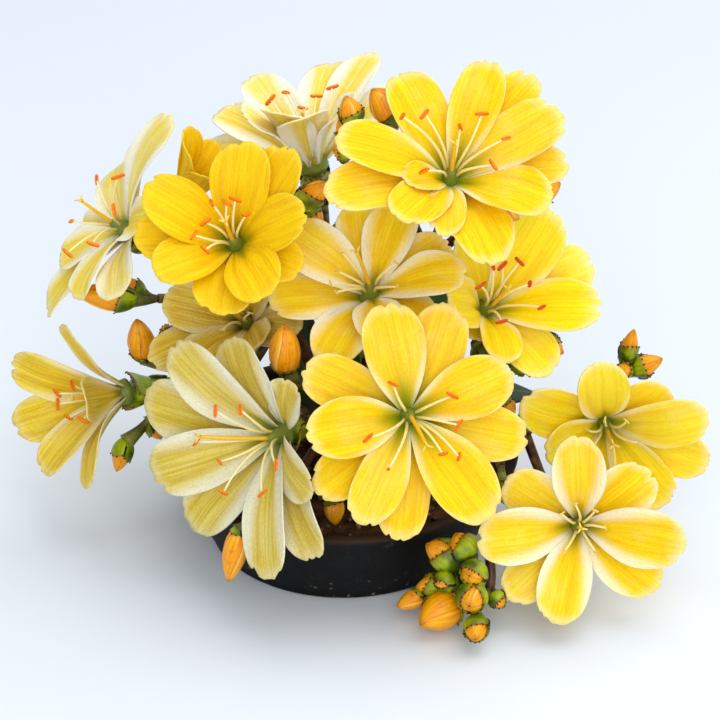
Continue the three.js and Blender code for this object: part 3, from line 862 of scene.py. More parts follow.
@dataclass
class Flower:
    """An open flower: petals, filaments, anthers and pistil."""

    number: int
    heart: Point
    faces: tuple[float, float]
    lift: float
    shade: Shade
    petals: Sequence[tuple[float, float, float, float]]
    stamens: Sequence[tuple[float, float]]
    style: tuple[float, float, float] = (0.0, 8.0, 6.5)
    anthers: Anthers = Anthers.ORANGE
    hub: float = 0.8
    whorl: float = 0.6
    turn: float = 22.0
    filament_rise: float = 36.0
    filament_end: float = 3.0
    filament_steps: int = 10
    slim: float = 0.93
    columns: int = 28
    rows: int = 26

    @property
    def tag(self) -> str:
        """The number that the flower's nodes and pieces carry."""
        return f"{self.number:02d}"

    @property
    def frame(self) -> Matrix:
        """The flower's frame."""
        return facing(self.heart, self.faces)

    def behind(self, distance: float) -> Point:
        """A point on the flower's axis, this far behind its heart."""
        return tuple(self.frame @ Vector((0, 0, -distance)))

    def build(self) -> None:
        """Builds the flower's pieces."""
        self.corolla(f"flower_{self.tag}_petals", f"corolla_{self.tag}")
        self.ring()
        self.pistil()

    def corolla(self, node: str, name: str) -> None:
        """Makes the ring of petals.

        Args:
            node: the CAD node that the ring stands for.
            name: the piece's name.
        """
        piece = Piece(name)
        for i, (clock, length, width, extra) in enumerate(self.petals):
            small = length < 12
            blade = Blade(
                Arc(length, self.lift + extra + self.turn, self.lift + extra - self.turn),
                width=width * self.slim, start=self.hub,
                height=self.whorl if extra > 0 else -self.whorl, clock=clock,
                seed=f"{name} {i}", notches=2 + i % 2, curl=0.3 if small else 0.8,
                ripple=0.2 if small else 0.42, claw=0.3 if small else 0.17,
            )
            piece.sheet(self.columns, self.rows, blade.place, self.frame, PETAL_WALL, blade.tint)
        piece.finish(self.shade.value, [node])

    def threads(self) -> Iterable[tuple[list[Vector], random.Random]]:
        """Each filament's route in the flower's frame, with its own random draws."""
        for i, (clock, length) in enumerate(self.stamens):
            draw = random.Random(f"thread {self.tag} {i}")
            arc = Arc(length, self.lift + self.filament_rise, self.lift + self.filament_end)
            turn = Matrix.Rotation(-math.radians(clock), 3, "Z")
            side = draw.uniform(-0.7, 0.7)
            route = []
            for step in range(self.filament_steps + 1):
                t = step / self.filament_steps
                reach, rise, _ = arc.at(t * 0.93)
                sway = side * math.sin(math.pi * t) * length / 10
                dip = 1.3 * max(0.0, 1 - t / 0.3) ** 2
                route.append(turn @ Vector((sway, 0.6 + reach, 2.8 + rise - dip)))
            yield route, draw

    def ring(self) -> None:
        """Makes the filaments and their anthers."""
        node = f"flower_{self.tag}_stamens"
        threads, anthers = Piece(f"filaments_{self.tag}"), Piece(f"anthers_{self.tag}")
        for route, draw in self.threads():
            world = [self.frame @ p for p in route]
            shares = [i / (len(world) - 1) for i in range(len(world))]
            threads.tube(world, [0.28 - 0.13 * s for s in shares], 7, shares)
            run = (world[-1] - world[-2]).normalized()
            across = run.orthogonal()
            across.rotate(Matrix.Rotation(draw.uniform(0, 2 * math.pi), 3, run))
            axis = (across + run * draw.uniform(-0.1, 0.7)).normalized()
            turn = Vector((0, 0, 1)).rotation_difference(axis).to_matrix().to_4x4()
            size = draw.uniform(0.8, 0.98) * self.anthers.value.size
            anthers.anther(Matrix.Translation(world[-1] + run * 0.2) @ turn, 1.25 * size, 0.38 * size)
        threads.finish(ThreadFinish(), [node])
        anthers.finish(self.anthers.value, [node])

    def pistil(self) -> None:
        """Makes the ovary, the style and its forked stigma."""
        piece = Piece(f"pistil_{self.tag}")
        profile = (
            (0, -1.4), (1.2, -1.1), (1.9 + self.hub / 2, -0.4), (1.7 + self.hub / 2, 0.5), (1.25, 1.3),
            (1.15, 2.2), (0.75, 3.1), (0.4, 3.6), (0, 3.7),
        )
        piece.turned(profile, 16, self.frame, 0.06)
        clock, lean, length = self.style
        turn = Matrix.Rotation(-math.radians(clock), 3, "Z") @ Matrix.Rotation(-math.radians(lean), 3, "X")
        start, tip = Vector((0, 0, 3.3)), Vector((0, 0, 3.3)) + turn @ Vector((0, 0, length))
        middle = start.lerp(tip, 0.5) + Vector((0, 0, length * 0.06))
        route = smooth_route([tuple(self.frame @ p) for p in (start, middle, tip)], 5)
        last = len(route) - 1
        radii = [0.36 - 0.1 * i / last for i in range(last + 1)]
        piece.tube(route, radii, 8, [0.45 + 0.35 * i / last for i in range(last + 1)])
        run = (route[-1] - route[-2]).normalized()
        for i in range(3):
            lobe = run.orthogonal()
            lobe.rotate(Matrix.Rotation(2 * math.pi * i / 3, 3, run))
            tip = route[-1]
            ends = [tip - run * 0.2, tip + run * 0.4 + lobe * 0.25, tip + run * 0.7 + lobe * 0.75]
            piece.tube(ends, [0.22, 0.18, 0.11], 6, [0.85, 0.95, 1.0])
        piece.finish(PistilFinish(), [f"flower_{self.tag}_stamens"])


@dataclass
class HalfOpenFlower(Flower):
    """The flower that is still opening: its petals stand up round its heart."""

    def build(self) -> None:
        """Builds its petals only, because they hide what they hold."""
        self.corolla("half_open_flower", "opening_petals")


@dataclass
class Calyx:
    """What holds a flower from behind: a green cup, two toothed sepals and two small bracts."""

    flower: Flower

    def build(self, piece: Piece) -> None:
        """Adds the calyx to a piece."""
        frame = self.flower.frame
        cup = ((0, -7.2), (0.85, -7.1), (1.15, -5.8), (1.75, -4.2), (2.2, -2.9), (2.0, -2.1), (0, -1.8))
        piece.turned(cup, 18, frame, 0.0)
        draw = random.Random(f"calyx {self.flower.number}")
        first = draw.uniform(0, 180)
        for i in range(2):
            sepal = Blade(
                Arc(draw.uniform(4.8, 5.5), 80, 54), width=4.9, start=1.2, height=-5.0,
                clock=first + 180 * i,
                seed=f"sepal {self.flower.number} {i}", claw=0.5, widest=0.5, tip_round=0.42, cup=0.34,
                notches=0, ripple=0.12, ridge=0.04, curl=0.2, crease=0.0,
            )
            piece.sheet(12, 10, sepal.place, frame, SEPAL_WALL)
            teeth(piece, sepal.place, frame, 6, 0.22)
            bract(
                piece, frame, Arc(3.2, 80, 62), width=2.3, start=0.75, height=-8.6,
                clock=first + 90 + 180 * i, seed=f"bract {self.flower.number} {i}", ripple=0.05, curl=0.2,
            )


@dataclass
class Scape:
    """A branched flower stalk, the calyx of each flower that it carries and bracts at its forks."""

    name: str
    route: Sequence[Point]
    branches: Sequence[tuple[Flower, Sequence[Point]]]
    radius: float = 1.2
    thin: float = 0.8

    def build(self) -> None:
        """Builds the stalk and its green parts."""
        node = f"scape_{self.name}"
        stalk, green = Piece(f"stalk_{self.name}"), Piece(f"calyx_{self.name}")
        self.stem(stalk, self.route, (self.radius, self.radius * 0.8), (0.0, 0.35))
        for flower, route in self.branches:
            full = [*route, flower.behind(9), flower.behind(4)]
            self.stem(stalk, full, (self.thin, self.thin * 1.05), (0.35, 1.0))
            Calyx(flower).build(green)
            self.fork(green, Vector(full[0]), Vector(full[1]), flower.number)
        stalk.finish(StalkFinish(), [node])
        green.finish(SepalFinish(), [node])

    def stem(
        self, piece: Piece, points: Sequence[Point], radii: tuple[float, float], ages: tuple[float, float],
    ) -> None:
        """Adds one stretch of stalk, swollen a little at each end.

        Args:
            piece: the piece that takes it.
            points: the points that it passes through.
            radii: its radius at each end.
            ages: the tint at each end, from 0 for old and brown to 1 for young and green.
        """
        route = smooth_route(points, 8)
        girths, tints = [], []
        for i, point in enumerate(route):
            share = i / (len(route) - 1)
            lump = 1 + 0.12 * math.cos(math.pi * share) ** 8 + 0.05 * noise.noise(point * 0.9)
            girths.append((radii[0] + (radii[1] - radii[0]) * share) * lump)
            tints.append(ages[0] + (ages[1] - ages[0]) * share)
        piece.tube(route, girths, 12, tints)

    def fork(self, piece: Piece, point: Vector, ahead: Vector, number: int) -> None:
        """Adds a pair of small bracts where a branch leaves the stalk."""
        turn = Vector((0, 0, 1)).rotation_difference(ahead - point).to_matrix().to_4x4()
        frame = Matrix.Translation(point) @ turn
        for i in range(2):
            bract(
                piece, frame, Arc(3.4, 76, 52), width=2.4, start=0.8, height=-0.6,
                clock=40 * number + 180 * i, seed=f"fork {self.name} {number} {i}", ripple=0.08, curl=0.3,
            )


@dataclass
class Bud:
    """A closed bud: overlapping petals twisted to a tip, clasped by two toothed sepals."""

    base: Point
    tip: Point
    radius: float
    clasp: float
    seed: str

    def __post_init__(self) -> None:
        """Sets the bud's own frame and draws."""
        run = Vector(self.tip) - Vector(self.base)
        self.length = run.length
        turn = Vector((0, 0, 1)).rotation_difference(run).to_matrix().to_4x4()
        self.draw = random.Random(self.seed)
        roll = Matrix.Rotation(self.draw.uniform(0, 6.28), 4, "Z")
        self.frame = Matrix.Translation(self.base) @ turn @ roll
        self.twist = self.draw.uniform(0.35, 0.8)

    def girth(self, along: float) -> float:
        """The bud's radius at a place along it."""
        return self.radius * math.sin(math.pi * min(1.0, max(0.0, along)) ** 0.82) ** 0.7

    def petal(self, first: float) -> Place:
        """The surface of one bud petal that starts at an angle."""

        def place(across: float, along: float) -> Vector:
            """The point at a place across and along the sheet."""
            angle = first + 1.05 * across + self.twist * along
            round_off = self.girth(0.04 + 0.95 * along) * (0.94 + 0.06 * across * (1 - along * 0.5))
            height = self.length * (0.03 + 0.97 * along) * (1 - 0.03 * across * across)
            return Vector((math.cos(angle) * round_off, math.sin(angle) * round_off, height))

        return place

    def sepal(self, first: float, clasp: float) -> Place:
        """The surface of a sepal that clasps this share of the bud."""

        def place(across: float, along: float) -> Vector:
            """The point at a place across and along the sheet."""
            reached = along * clasp * (1 - 0.26 * abs(across) ** 2.6)
            angle = first + 1.5 * across
            round_off = self.girth(reached) * 1.03 + 0.16 + 0.1 * abs(across) ** 4
            return Vector((math.cos(angle) * round_off, math.sin(angle) * round_off, self.length * reached))

        return place

    def build(self, petals: Piece, sepals: Piece) -> None:
        """Adds the bud's petals to one piece and its sepals to another."""
        for i in range(4):
            petals.sheet(9, 12, self.petal(math.pi * i / 2), self.frame, BUD_WALL, self.draw.random())
        for i in range(2):
            place = self.sepal(math.pi * i, self.clasp * (1 - 0.14 * i))
            sepals.sheet(12, 9, place, self.frame, SEPAL_WALL)
            teeth(sepals, place, self.frame, 6, 0.22, 0.4)


@dataclass
class BudGroup:
    """Buds on short stalks that run back to one shared stalk."""

    node: str
    stalk: Sequence[Point]
    buds: Sequence[tuple[Point, Point, float, float]]
    radius: float = 0.8

    def build(self) -> None:
        """Builds the group's stalks, bud petals and sepals."""
        stalks, petals, sepals = (Piece(f"{self.node}_{part}") for part in ("stalks", "tips", "sepals"))
        route = smooth_route(self.stalk, 6)
        tints = [0.2 + 0.4 * i / len(route) for i in range(len(route))]
        stalks.tube(route, [self.radius] * len(route), 10, tints)
        end = Vector(self.stalk[-1])
        for i, (base, tip, radius, clasp) in enumerate(self.buds):
            bud = Bud(base, tip, radius, clasp, f"{self.node} {i}")
            inside = Vector(base).lerp(Vector(tip), 0.12)
            sag = Vector((0, 0, -0.06 * (inside - end).length))
            link = smooth_route([tuple(end), tuple(end.lerp(inside, 0.5) + sag), tuple(inside)], 4)
            radii = [0.62 + 0.014 * k * k for k in range(len(link))]
            stalks.tube(link, radii, 8, [0.5 + 0.06 * k for k in range(len(link))])
            bud.build(petals, sepals)
        stalks.finish(StalkFinish(), [self.node])
        petals.finish(BudFinish(), [self.node])
        sepals.finish(SepalFinish(), [self.node])


@dataclass
class Leaf:
    """A fleshy spoon-shaped leaf of the rosette."""

    number: int
    azimuth: float
    length: float
    width: float
    first: float
    last: float
    start: float = 8.0
    foot: float = 15.9
    thickness: float = 1.6

    def build(self) -> None:
        """Builds the leaf as one closed thick blade."""
        piece = Piece(f"leaf_blade_{self.number:02d}")
        blade = Blade(
            Arc(self.length, self.first, self.last), width=self.width, start=self.start, height=self.foot,
            clock=90 - self.azimuth, seed=f"leaf {self.number}", claw=0.42, tip_round=0.34, notches=0,
            ripple=0.35, ridge=0.03, curl=0.6, crease=0.25,
        )
        made = bmesh.ops.create_uvsphere(piece.bm, u_segments=28, v_segments=30, radius=1.0)["verts"]
        for face in piece.bm.faces:
            face.smooth = True
        for vert in made:
            around = Vector((vert.co.x, vert.co.y))
            rounded = max(around.length, 1e-4)
            across, thick = around.x / rounded, around.y / rounded
            along = math.acos(max(-1.0, min(1.0, -vert.co.z))) / math.pi
            body = math.sin(math.pi * (0.06 + 0.88 * along)) ** 0.5 * min(1.0, rounded * 2.4)
            fat = self.thickness / 2 * thick * body
            wide = across * min(1.0, rounded * 1.9)
            vert.co = blade.place(wide, along) + Vector((0, 0, fat))
            vert[piece.tint] = along
            for loop in vert.link_loops:
                loop[piece.uv].uv = ((wide + 1) / 2, along)
        piece.finish(LeafFinish(), [f"leaf_{self.number:02d}"])


@dataclass
class Crown:
    """The short woody stem that every leaf and stalk grows from, with old leaf bases round it."""

    bottom: float = 13.9
    top: float = 21.0
    radius: float = 7.0
    sides: int = 48
    scales: int = 22

    def build(self) -> None:
        """Builds the crown and the scales of its old leaves."""
        piece = Piece("crown_bark")
        rise = self.top - self.bottom
        shares = (
            (0, 0.0), (0.9, 0.0), (0.99, 0.14), (1.0, 0.3), (0.93, 0.5), (0.82, 0.7), (0.7, 0.84),
            (0.42, 0.96), (0, 0.99),
        )
        piece.turned([(self.radius * r, self.bottom + rise * z) for r, z in shares], self.sides, Matrix())
        bmesh.ops.subdivide_edges(piece.bm, edges=piece.bm.edges[:], cuts=1, use_grid_fill=True)
        for vert in piece.bm.verts:
            out = Vector((vert.co.x, vert.co.y, 0))
            inward = 0.5 * (noise.noise(vert.co * 0.8) - 0.4) + 0.3 * noise.noise(vert.co * 2.6)
            if out.length > 0.5:
                vert.co += out.normalized() * min(0.0, inward)
        for i in range(self.scales):
            draw = random.Random(f"scale {i}")
            scale = Blade(
                Arc(draw.uniform(2.4, 3.8), draw.uniform(60, 80), draw.uniform(15, 45)),
                width=draw.uniform(2.4, 3.6), start=self.radius * draw.uniform(0.78, 0.92),
                height=self.bottom + draw.uniform(0.4, 4.2),
                clock=360 * i / self.scales + draw.uniform(-8, 8),
                seed=f"scale {i}", claw=0.7, widest=0.3, tip_round=0.6, notches=2, ripple=0.2, curl=0.3,
                crease=0.0,
            )
            piece.sheet(6, 5, scale.place, Matrix(), SEPAL_WALL)
        bark = GroundFinish("bark", "crown", colour(52, 30, 20), colour(120, 84, 54), 420.0, 0.5)
        piece.finish(bark, ["crown"])


@dataclass
class Soil:
    """Crumbly soil with grit on it."""

    top: float = 13.0
    rise: float = 0.6
    bottom: float = 2.8
    low_radius: float = 20.3
    high_radius: float = 25.4
    crumbs: int = 420
    rings: int = 22
    sides: int = 120

    def surface(self, radius: float) -> float:
        """The soil's height at a distance from the middle."""
        return self.top + self.rise * smooth(self.high_radius, 8.0, radius)

    def build(self) -> None:
        """Builds the soil's body and the crumbs and grit on it."""
        piece = Piece("soil_body")
        rings = [self.high_radius * (1 - i / self.rings) for i in range(self.rings + 1)]
        profile = [(0, self.bottom), (self.low_radius, self.bottom)] + [(r, self.surface(r)) for r in rings]
        piece.turned(profile, self.sides, Matrix())
        for vert in piece.bm.verts:
            if vert.co.z > self.top - 1:
                bumps = 0.5 * noise.noise(vert.co * 0.5) + 0.35 * noise.noise(vert.co * 1.7)
                vert.co.z += bumps - 0.15
        earth = GroundFinish("soil", "soil", colour(44, 28, 18), colour(110, 78, 50), 300.0, 0.8)
        piece.finish(earth, ["soil"])
        grit = Piece("soil_crumbs")
        draw = random.Random("crumbs")
        for _ in range(self.crumbs):
            radius = self.high_radius * math.sqrt(draw.uniform(0.08, 0.94))
            angle = draw.uniform(0, 2 * math.pi)
            size = draw.uniform(0.25, 0.62) * (1.5 if draw.random() < 0.1 else 1.0)
            high = self.surface(radius) + size * 0.15
            place = Vector((radius * math.cos(angle), radius * math.sin(angle), high))
            spin = Matrix.Rotation(angle * 7, 4, Vector((draw.random(), draw.random(), 1)).normalized())
            shape = Matrix.Diagonal((size, size * draw.uniform(0.6, 1), size * draw.uniform(0.5, 0.8), 1))
            grit.ball(Matrix.Translation(place) @ spin @ shape, 0.0)
        stones = GroundFinish("grit", "soil", colour(84, 60, 40), colour(176, 146, 108), 500.0, 0.3)
        grit.finish(stones, ["soil"])


@dataclass
class Pot:
    """The low flared pot: a thin wall with a rounded lip on a flat drained base."""

    height: float = 16.0
    rim: float = 29.0
    base: float = 22.5
    foot: float = 1.0
    lip: float = 2.0
    floor: float = 2.5
    drain: float = 1.5
    drain_place: float = 12.0
    drains: int = 3
    sides: int = 144
    drain_sides: int = 28

    def profile(self) -> list[tuple[float, float]]:
        """The wall's outline from the middle of the base round the lip to the middle of the floor."""
        slope = (self.rim - self.base) / (self.height - self.foot)
        outline = [(0, 0), (self.base * 0.5, 0)]
        for i in range(5):
            angle = math.pi / 2 * i / 4
            out = self.base - self.foot + self.foot * math.sin(angle)
            outline.append((out, self.foot * (1 - math.cos(angle))))
        for i in range(1, 10):
            high = self.foot + (self.height - 1.2 - self.foot) * i / 9
            belly = 0.25 * math.sin(math.pi * i / 9)
            outline.append((self.base + slope * (high - self.foot) + belly, high))
        half = self.lip / 2
        for i in range(1, 9):
            angle = math.pi * i / 9
            out = self.rim - half + half * math.cos(angle)
            outline.append((out, self.height - half + half * math.sin(angle)))
        inner = self.base - self.lip
        outline += [(self.rim - self.lip - 0.3, self.height - 2.2), (inner + 0.4, self.floor + 0.6)]
        return outline + [(inner - 0.6, self.floor), (0, self.floor)]

    def build(self) -> None:
        """Builds the pot and cuts its drain holes."""
        piece = Piece("pot_shell")
        piece.turned(self.profile(), self.sides, Matrix())
        shell = piece.finish(PotFinish(self.height), ["pot"])
        self.cut_drains(shell)

    def cut_drains(self, shell: bpy.types.Object) -> None:
        """Cuts the drain holes through the base."""
        bm = bmesh.new()
        for i in range(self.drains):
            turn = Matrix.Rotation(2 * math.pi * i / self.drains, 4, "Z")
            place = Matrix.Translation((self.drain_place * MM, 0, self.floor / 2 * MM))
            bmesh.ops.create_cone(
                bm, cap_ends=True, segments=self.drain_sides,
                radius1=self.drain * MM, radius2=self.drain * MM,
                depth=self.floor * 2 * MM, matrix=turn @ place,
            )
        mesh = bpy.data.meshes.new("drain_cutter")
        bm.to_mesh(mesh)
        bm.free()
        cutter = bpy.data.objects.new("drain_cutter", mesh)
        bpy.context.scene.collection.objects.link(cutter)
        cut = shell.modifiers.new("drains", "BOOLEAN")
        cut.object = cutter
        cut.operation = "DIFFERENCE"
        depsgraph = bpy.context.evaluated_depsgraph_get()
        shaped = bpy.data.meshes.new_from_object(shell.evaluated_get(depsgraph))
        shell.modifiers.clear()
        shell.data = shaped
        bpy.data.objects.remove(cutter)


@dataclass
class Studio:
    """The pale floor, the soft lights and the camera at the photograph's angle."""

    target: Point = (2.7, 0.0, 31.6)
    distance: float = 393.0
    elevation: float = 30.0
    lens: float = 121.15
    floor_half: float = 3.0
    floor_drop: float = 0.0001

    def build(self) -> None:
        """Builds the floor, the lights and the camera."""
        bm = bmesh.new()
        low = Matrix.Translation((0, 0, -self.floor_drop))
        bmesh.ops.create_grid(bm, x_segments=1, y_segments=1, size=self.floor_half, matrix=low)
        mesh = bpy.data.meshes.new("floor")
        bm.to_mesh(mesh)
        bm.free()
        mesh.materials.append(WARDROBE.wear(FloorFinish()))
        floor = bpy.data.objects.new("floor", mesh)
        bpy.context.scene.collection.objects.link(floor)
        self.light("key", (0.24, 0.06, 0.74), 0.85, 4.1, (1.0, 0.985, 0.96))
        self.light("front", (0.06, -0.74, 0.42), 0.7, 3.6, (1.0, 0.99, 0.97))
        world = bpy.data.worlds.new("sky")
        world.use_nodes = True
        sky = world.node_tree.nodes["Background"]
        sky.inputs["Color"].default_value = (0.88, 0.94, 1.0, 1.0)
        sky.inputs["Strength"].default_value = 0.6
        bpy.context.scene.world = world
        bpy.context.scene.view_settings.view_transform = "Standard"
        self.camera()

    def light(self, name: str, place: Point, size: float, power: float, tone: Point) -> None:
        """Adds a soft square light that points at the plant."""
        lamp = bpy.data.lights.new(name, "AREA")
        lamp.size = size
        lamp.energy = power
        lamp.color = tone
        holder = bpy.data.objects.new(name, lamp)
        holder.location = place
        aim = Vector(self.target) * MM - Vector(place)
        holder.rotation_euler = aim.to_track_quat("-Z", "Y").to_euler()
        bpy.context.scene.collection.objects.link(holder)

    def camera(self) -> None:
        """Adds the camera."""
        lens = bpy.data.cameras.new("camera")
        lens.lens = self.lens
        lens.sensor_width = 36.0
        lens.clip_start = 0.01
        holder = bpy.data.objects.new("camera", lens)
        angle = math.radians(self.elevation)
        back = Vector((0, -math.cos(angle), math.sin(angle)))
        holder.location = (Vector(self.target) + back * self.distance) * MM
        holder.rotation_euler = (-back).to_track_quat("-Z", "Y").to_euler()
        bpy.context.scene.collection.objects.link(holder)
        bpy.context.scene.camera = holder


FLOWERS = {
    1: Flower(
        1, (10, -19, 32.5), (10, 32), 18, Shade.BRIGHT,
        petals=(
            (349, 18.5, 10.5, 3), (26, 18.5, 10, -3), (69, 17.5, 10, 3), (109, 19, 9.5, -2),
            (148, 20.5, 11, 3), (191, 19.5, 9, -3), (213, 19.5, 8.5, 3), (236, 19.5, 9, -2),
            (265, 19, 10, 9), (298, 18.5, 9, -3),
        ),
        stamens=((68, 8), (108, 8.5), (150, 9), (140, 11.5), (214, 12), (250, 10.5), (330, 7)),
        style=(170, 35, 8),
    ),
    2: Flower(
        2, (-9.5, -17, 28), (-38, 14), 28, Shade.SHADED_STRAW,
        petals=(
            (310, 22, 10.5, 3), (334, 18, 9, -3), (17, 12, 7, -3), (103, 16, 8, 6), (128, 22.5, 8.5, -3),
            (149, 23.5, 10, 2), (208, 21.5, 10.5, -3), (236, 21.5, 10.5, 3), (271, 23, 10.5, -3),
        ),
        stamens=((304, 10.5), (334, 8), (258, 12), (190, 12), (132, 12), (95, 10), (226, 9)),
        style=(268, 38, 11),
    ),
    3: Flower(
        3, (4.5, -3, 45), (-10, 60), 22, Shade.GOLD,
        petals=(
            (294, 16.5, 10.5, 3), (344, 15.5, 9, -3), (13, 15, 9, 3), (57, 14.5, 9.5, -3), (85, 16.5, 9, 3),
            (120, 12, 8.5, -3), (160, 12, 8.5, 3), (197, 16.5, 9.5, -4), (250, 16.5, 10, -3),
        ),
        stamens=((305, 7), (240, 8), (222, 8), (270, 6), (60, 6), (115, 7)),
        style=(300, 12, 8),
        anthers=Anthers.EMPTY,
    ),
    4: Flower(
        4, (-16.5, -6, 55.5), (-10, 43), 35, Shade.DEEP,
        petals=(
            (288, 17.5, 9.5, 6), (262, 16.5, 9, -4), (231, 15.5, 8.5, 3), (178, 14.5, 10.5, -3),
            (140, 16, 9.5, 3), (112, 14, 7.5, -4), (75, 15.5, 9.5, 3), (33, 18.5, 9.5, -3), (8, 17, 10, 4),
        ),
        stamens=((326, 8), (352, 7), (10, 8), (40, 6), (290, 6), (254, 8), (222, 7)),
    ),
    5: Flower(
        5, (16.5, -4, 65.5), (6, 56), 24, Shade.BRIGHT,
        petals=(
            (280, 20, 9, 3), (254, 22, 9.5, -3), (339, 18.5, 9.5, -2), (25, 19.5, 8.5, 3),
            (43, 21, 8.5, -4), (73, 19.5, 10, 3), (95, 18.5, 9, -3), (126, 18, 9, 3), (164, 19, 10, -3),
            (194, 14, 6.5, 3), (221, 15.5, 9, 4), (250, 10, 6, 14),
        ),
        stamens=((304, 13), (16, 7), (328, 10.5), (38, 10.5), (80, 11), (246, 7), (110, 8)),
    ),
    6: Flower(
        6, (22.5, 1, 40), (30, 42), 38, Shade.LEMON,
        petals=(
            (346, 14, 8, -4), (47, 19.5, 10, 3), (87, 19.5, 9.5, -3), (117, 19, 9.5, 3),
            (169, 16.5, 9.5, -3), (203, 14, 7.5, 3), (240, 8, 6, -3), (278, 13, 9, 3),
        ),
        stamens=((10, 8.5), (36, 10), (130, 10), (346, 9.5), (80, 8), (300, 9), (215, 8)),
        anthers=Anthers.RED,
    ),
    7: Flower(
        7, (42.5, -3, 22), (3, 3), 32, Shade.LEMON,
        petals=(
            (350, 19.5, 9, 3), (46, 13.5, 9, -3), (67, 19, 9.5, 3), (102, 18.5, 9.5, -3), (140, 16.5, 9, 3),
            (190, 13, 8, -3), (260, 12.5, 9, 3), (299, 19, 9.5, -3),
        ),
        stamens=((306, 8), (345, 7), (30, 7), (90, 7), (170, 7), (240, 8)),
        anthers=Anthers.EMPTY,
    ),
    8: Flower(
        8, (37.5, -19, 12.5), (-3, 24), 33, Shade.GOLD,
        petals=(
            (357, 19, 9, 3), (48, 16, 9.5, -3), (92, 19.5, 10, 3), (126, 17, 9.5, -3), (196, 17.5, 9, 3),
            (226, 17.5, 8.5, -3), (266, 19.5, 9.5, 3), (303, 16, 9, -3),
        ),
        stamens=((312, 6), (216, 6), (34, 6), (142, 6), (348, 7), (80, 6)),
        anthers=Anthers.EMPTY,
    ),
    9: Flower(
        9, (-36.5, 6, 22), (-54, 7), 48, Shade.OCHRE,
        petals=(
            (350, 17.5, 8, -8), (287, 19, 9, 3), (230, 20.5, 9, -3), (181, 18.5, 9, 3),
            (132, 19.5, 8.5, -3), (60, 16, 8, 3),
        ),
        stamens=((275, 9), (245, 9), (200, 8), (140, 7), (320, 7)),
    ),
    10: Flower(
        10, (-34.5, 8, 51), (-72, 36), 13, Shade.PALE,
        petals=(
            (9, 21.5, 9, 3), (328, 17.5, 9, -3), (298, 11, 9.5, 3), (236, 14, 8.5, -3), (208, 13, 8.5, 3),
            (188, 20, 9, -3), (112, 16, 9, -3), (150, 14, 8.5, 3), (60, 13, 8.5, 3),
        ),
        stamens=((10, 9), (58, 8), (114, 8), (170, 9), (230, 8), (300, 8)),
    ),
    11: Flower(
        11, (-5, 12, 61), (-38, 72), 18, Shade.CREAM,
        petals=(
            (334, 20, 9, -3), (296, 18, 8.5, 3), (272, 18, 8.5, -3), (250, 19.5, 7.5, -12), (0, 20, 8, 3),
            (22, 19.5, 7, -4), (72, 16, 8.5, 40), (126, 17, 9, 50), (172, 17, 9.5, 54), (214, 16, 8.5, 44),
        ),
        stamens=((286, 10.5), (342, 9), (306, 10.5), (0, 11), (322, 7)),
        hub=1.6,
    ),
    12: Flower(
        12, (-15.5, 4, 36), (-25, 44), 42, Shade.KHAKI,
        petals=(
            (258, 14.5, 9, 3), (214, 19, 9, -3), (190, 17, 9, 3), (165, 10, 8, -3), (133, 12, 9, 3),
            (95, 16, 8.5, -3), (314, 12, 8, -3), (24, 9.5, 7, 3),
        ),
        stamens=((270, 7), (180, 7), (90, 7), (0, 6)),
        anthers=Anthers.EMPTY,
    ),
    13: HalfOpenFlower(
        13, (-25, 4.5, 59.5), (70, 62), 72, Shade.DEEP,
        petals=(
            (20, 10, 5.5, 1), (92, 9.5, 5.5, -1), (164, 10, 5.5, 1), (236, 9.5, 5.5, -1), (308, 10, 5.5, 1),
        ),
        stamens=(), hub=2,
    ),
}

LEAVES = (
    Leaf(1, 14, 27, 11, 38, -20), Leaf(2, 48, 31, 11, 64, 34), Leaf(3, 86, 29, 10, 76, 45),
    Leaf(4, 123, 29, 10, 66, 34), Leaf(5, 182, 24, 10, 38, -12), Leaf(6, 203, 19, 6.5, 60, 10),
    Leaf(7, 225, 15, 6, 40, 15), Leaf(8, 282, 12, 6, 30, 10), Leaf(9, 306, 16, 6.5, 48, 15),
    Leaf(10, 345, 21, 8.5, 22, -12),
)

SCAPES = (
    Scape("left", ((-3, 3, 22), (-7, 5, 32), (-12, 5, 42)), (
        (FLOWERS[4], ((-12, 5, 42), (-15, 5, 47))), (FLOWERS[10], ((-12, 5, 42), (-20, 8.5, 43.5))),
        (FLOWERS[13], ((-12, 5, 42), (-19, 6, 52))),
    )),
    Scape("rear", ((0, 6, 22), (-2, 12, 34), (-3, 15, 46)), ((FLOWERS[11], ((-3, 15, 46),)),)),
    Scape("top", ((4, 3, 22), (9, 6, 36), (14, 5, 48)), ((FLOWERS[5], ((14, 5, 48),)),)),
    Scape("centre", ((1, -3, 22.5), (4, -1, 32)), ((FLOWERS[3], ((4, -1, 32),)),)),
    Scape("right", ((7, 1, 21.5), (14, 5, 27)), ((FLOWERS[6], ((14, 5, 27), (18, 5.5, 33))),)),
    Scape("low_right", ((8.5, -2, 19), (18, -3, 23), (29, -2, 21)), (
        (FLOWERS[7], ((29, -2, 21), (38, 5, 20))), (FLOWERS[8], ((29, -2, 21), (34, -8, 11))),
    )),
    Scape("front", ((1.5, -6.5, 21), (1.5, -9.5, 25)), (
        (FLOWERS[1], ((1.5, -9.5, 25), (6, -11, 27))), (FLOWERS[2], ((1.5, -9.5, 25), (-2, -11, 26))),
    )),
    Scape("low_left", ((-8, 1, 20), (-17, 6, 24), (-25, 9, 22)), (
        (FLOWERS[9], ((-25, 9, 22),)), (FLOWERS[12], ((-17, 6, 24), (-14, 6, 29))),
    )),
)

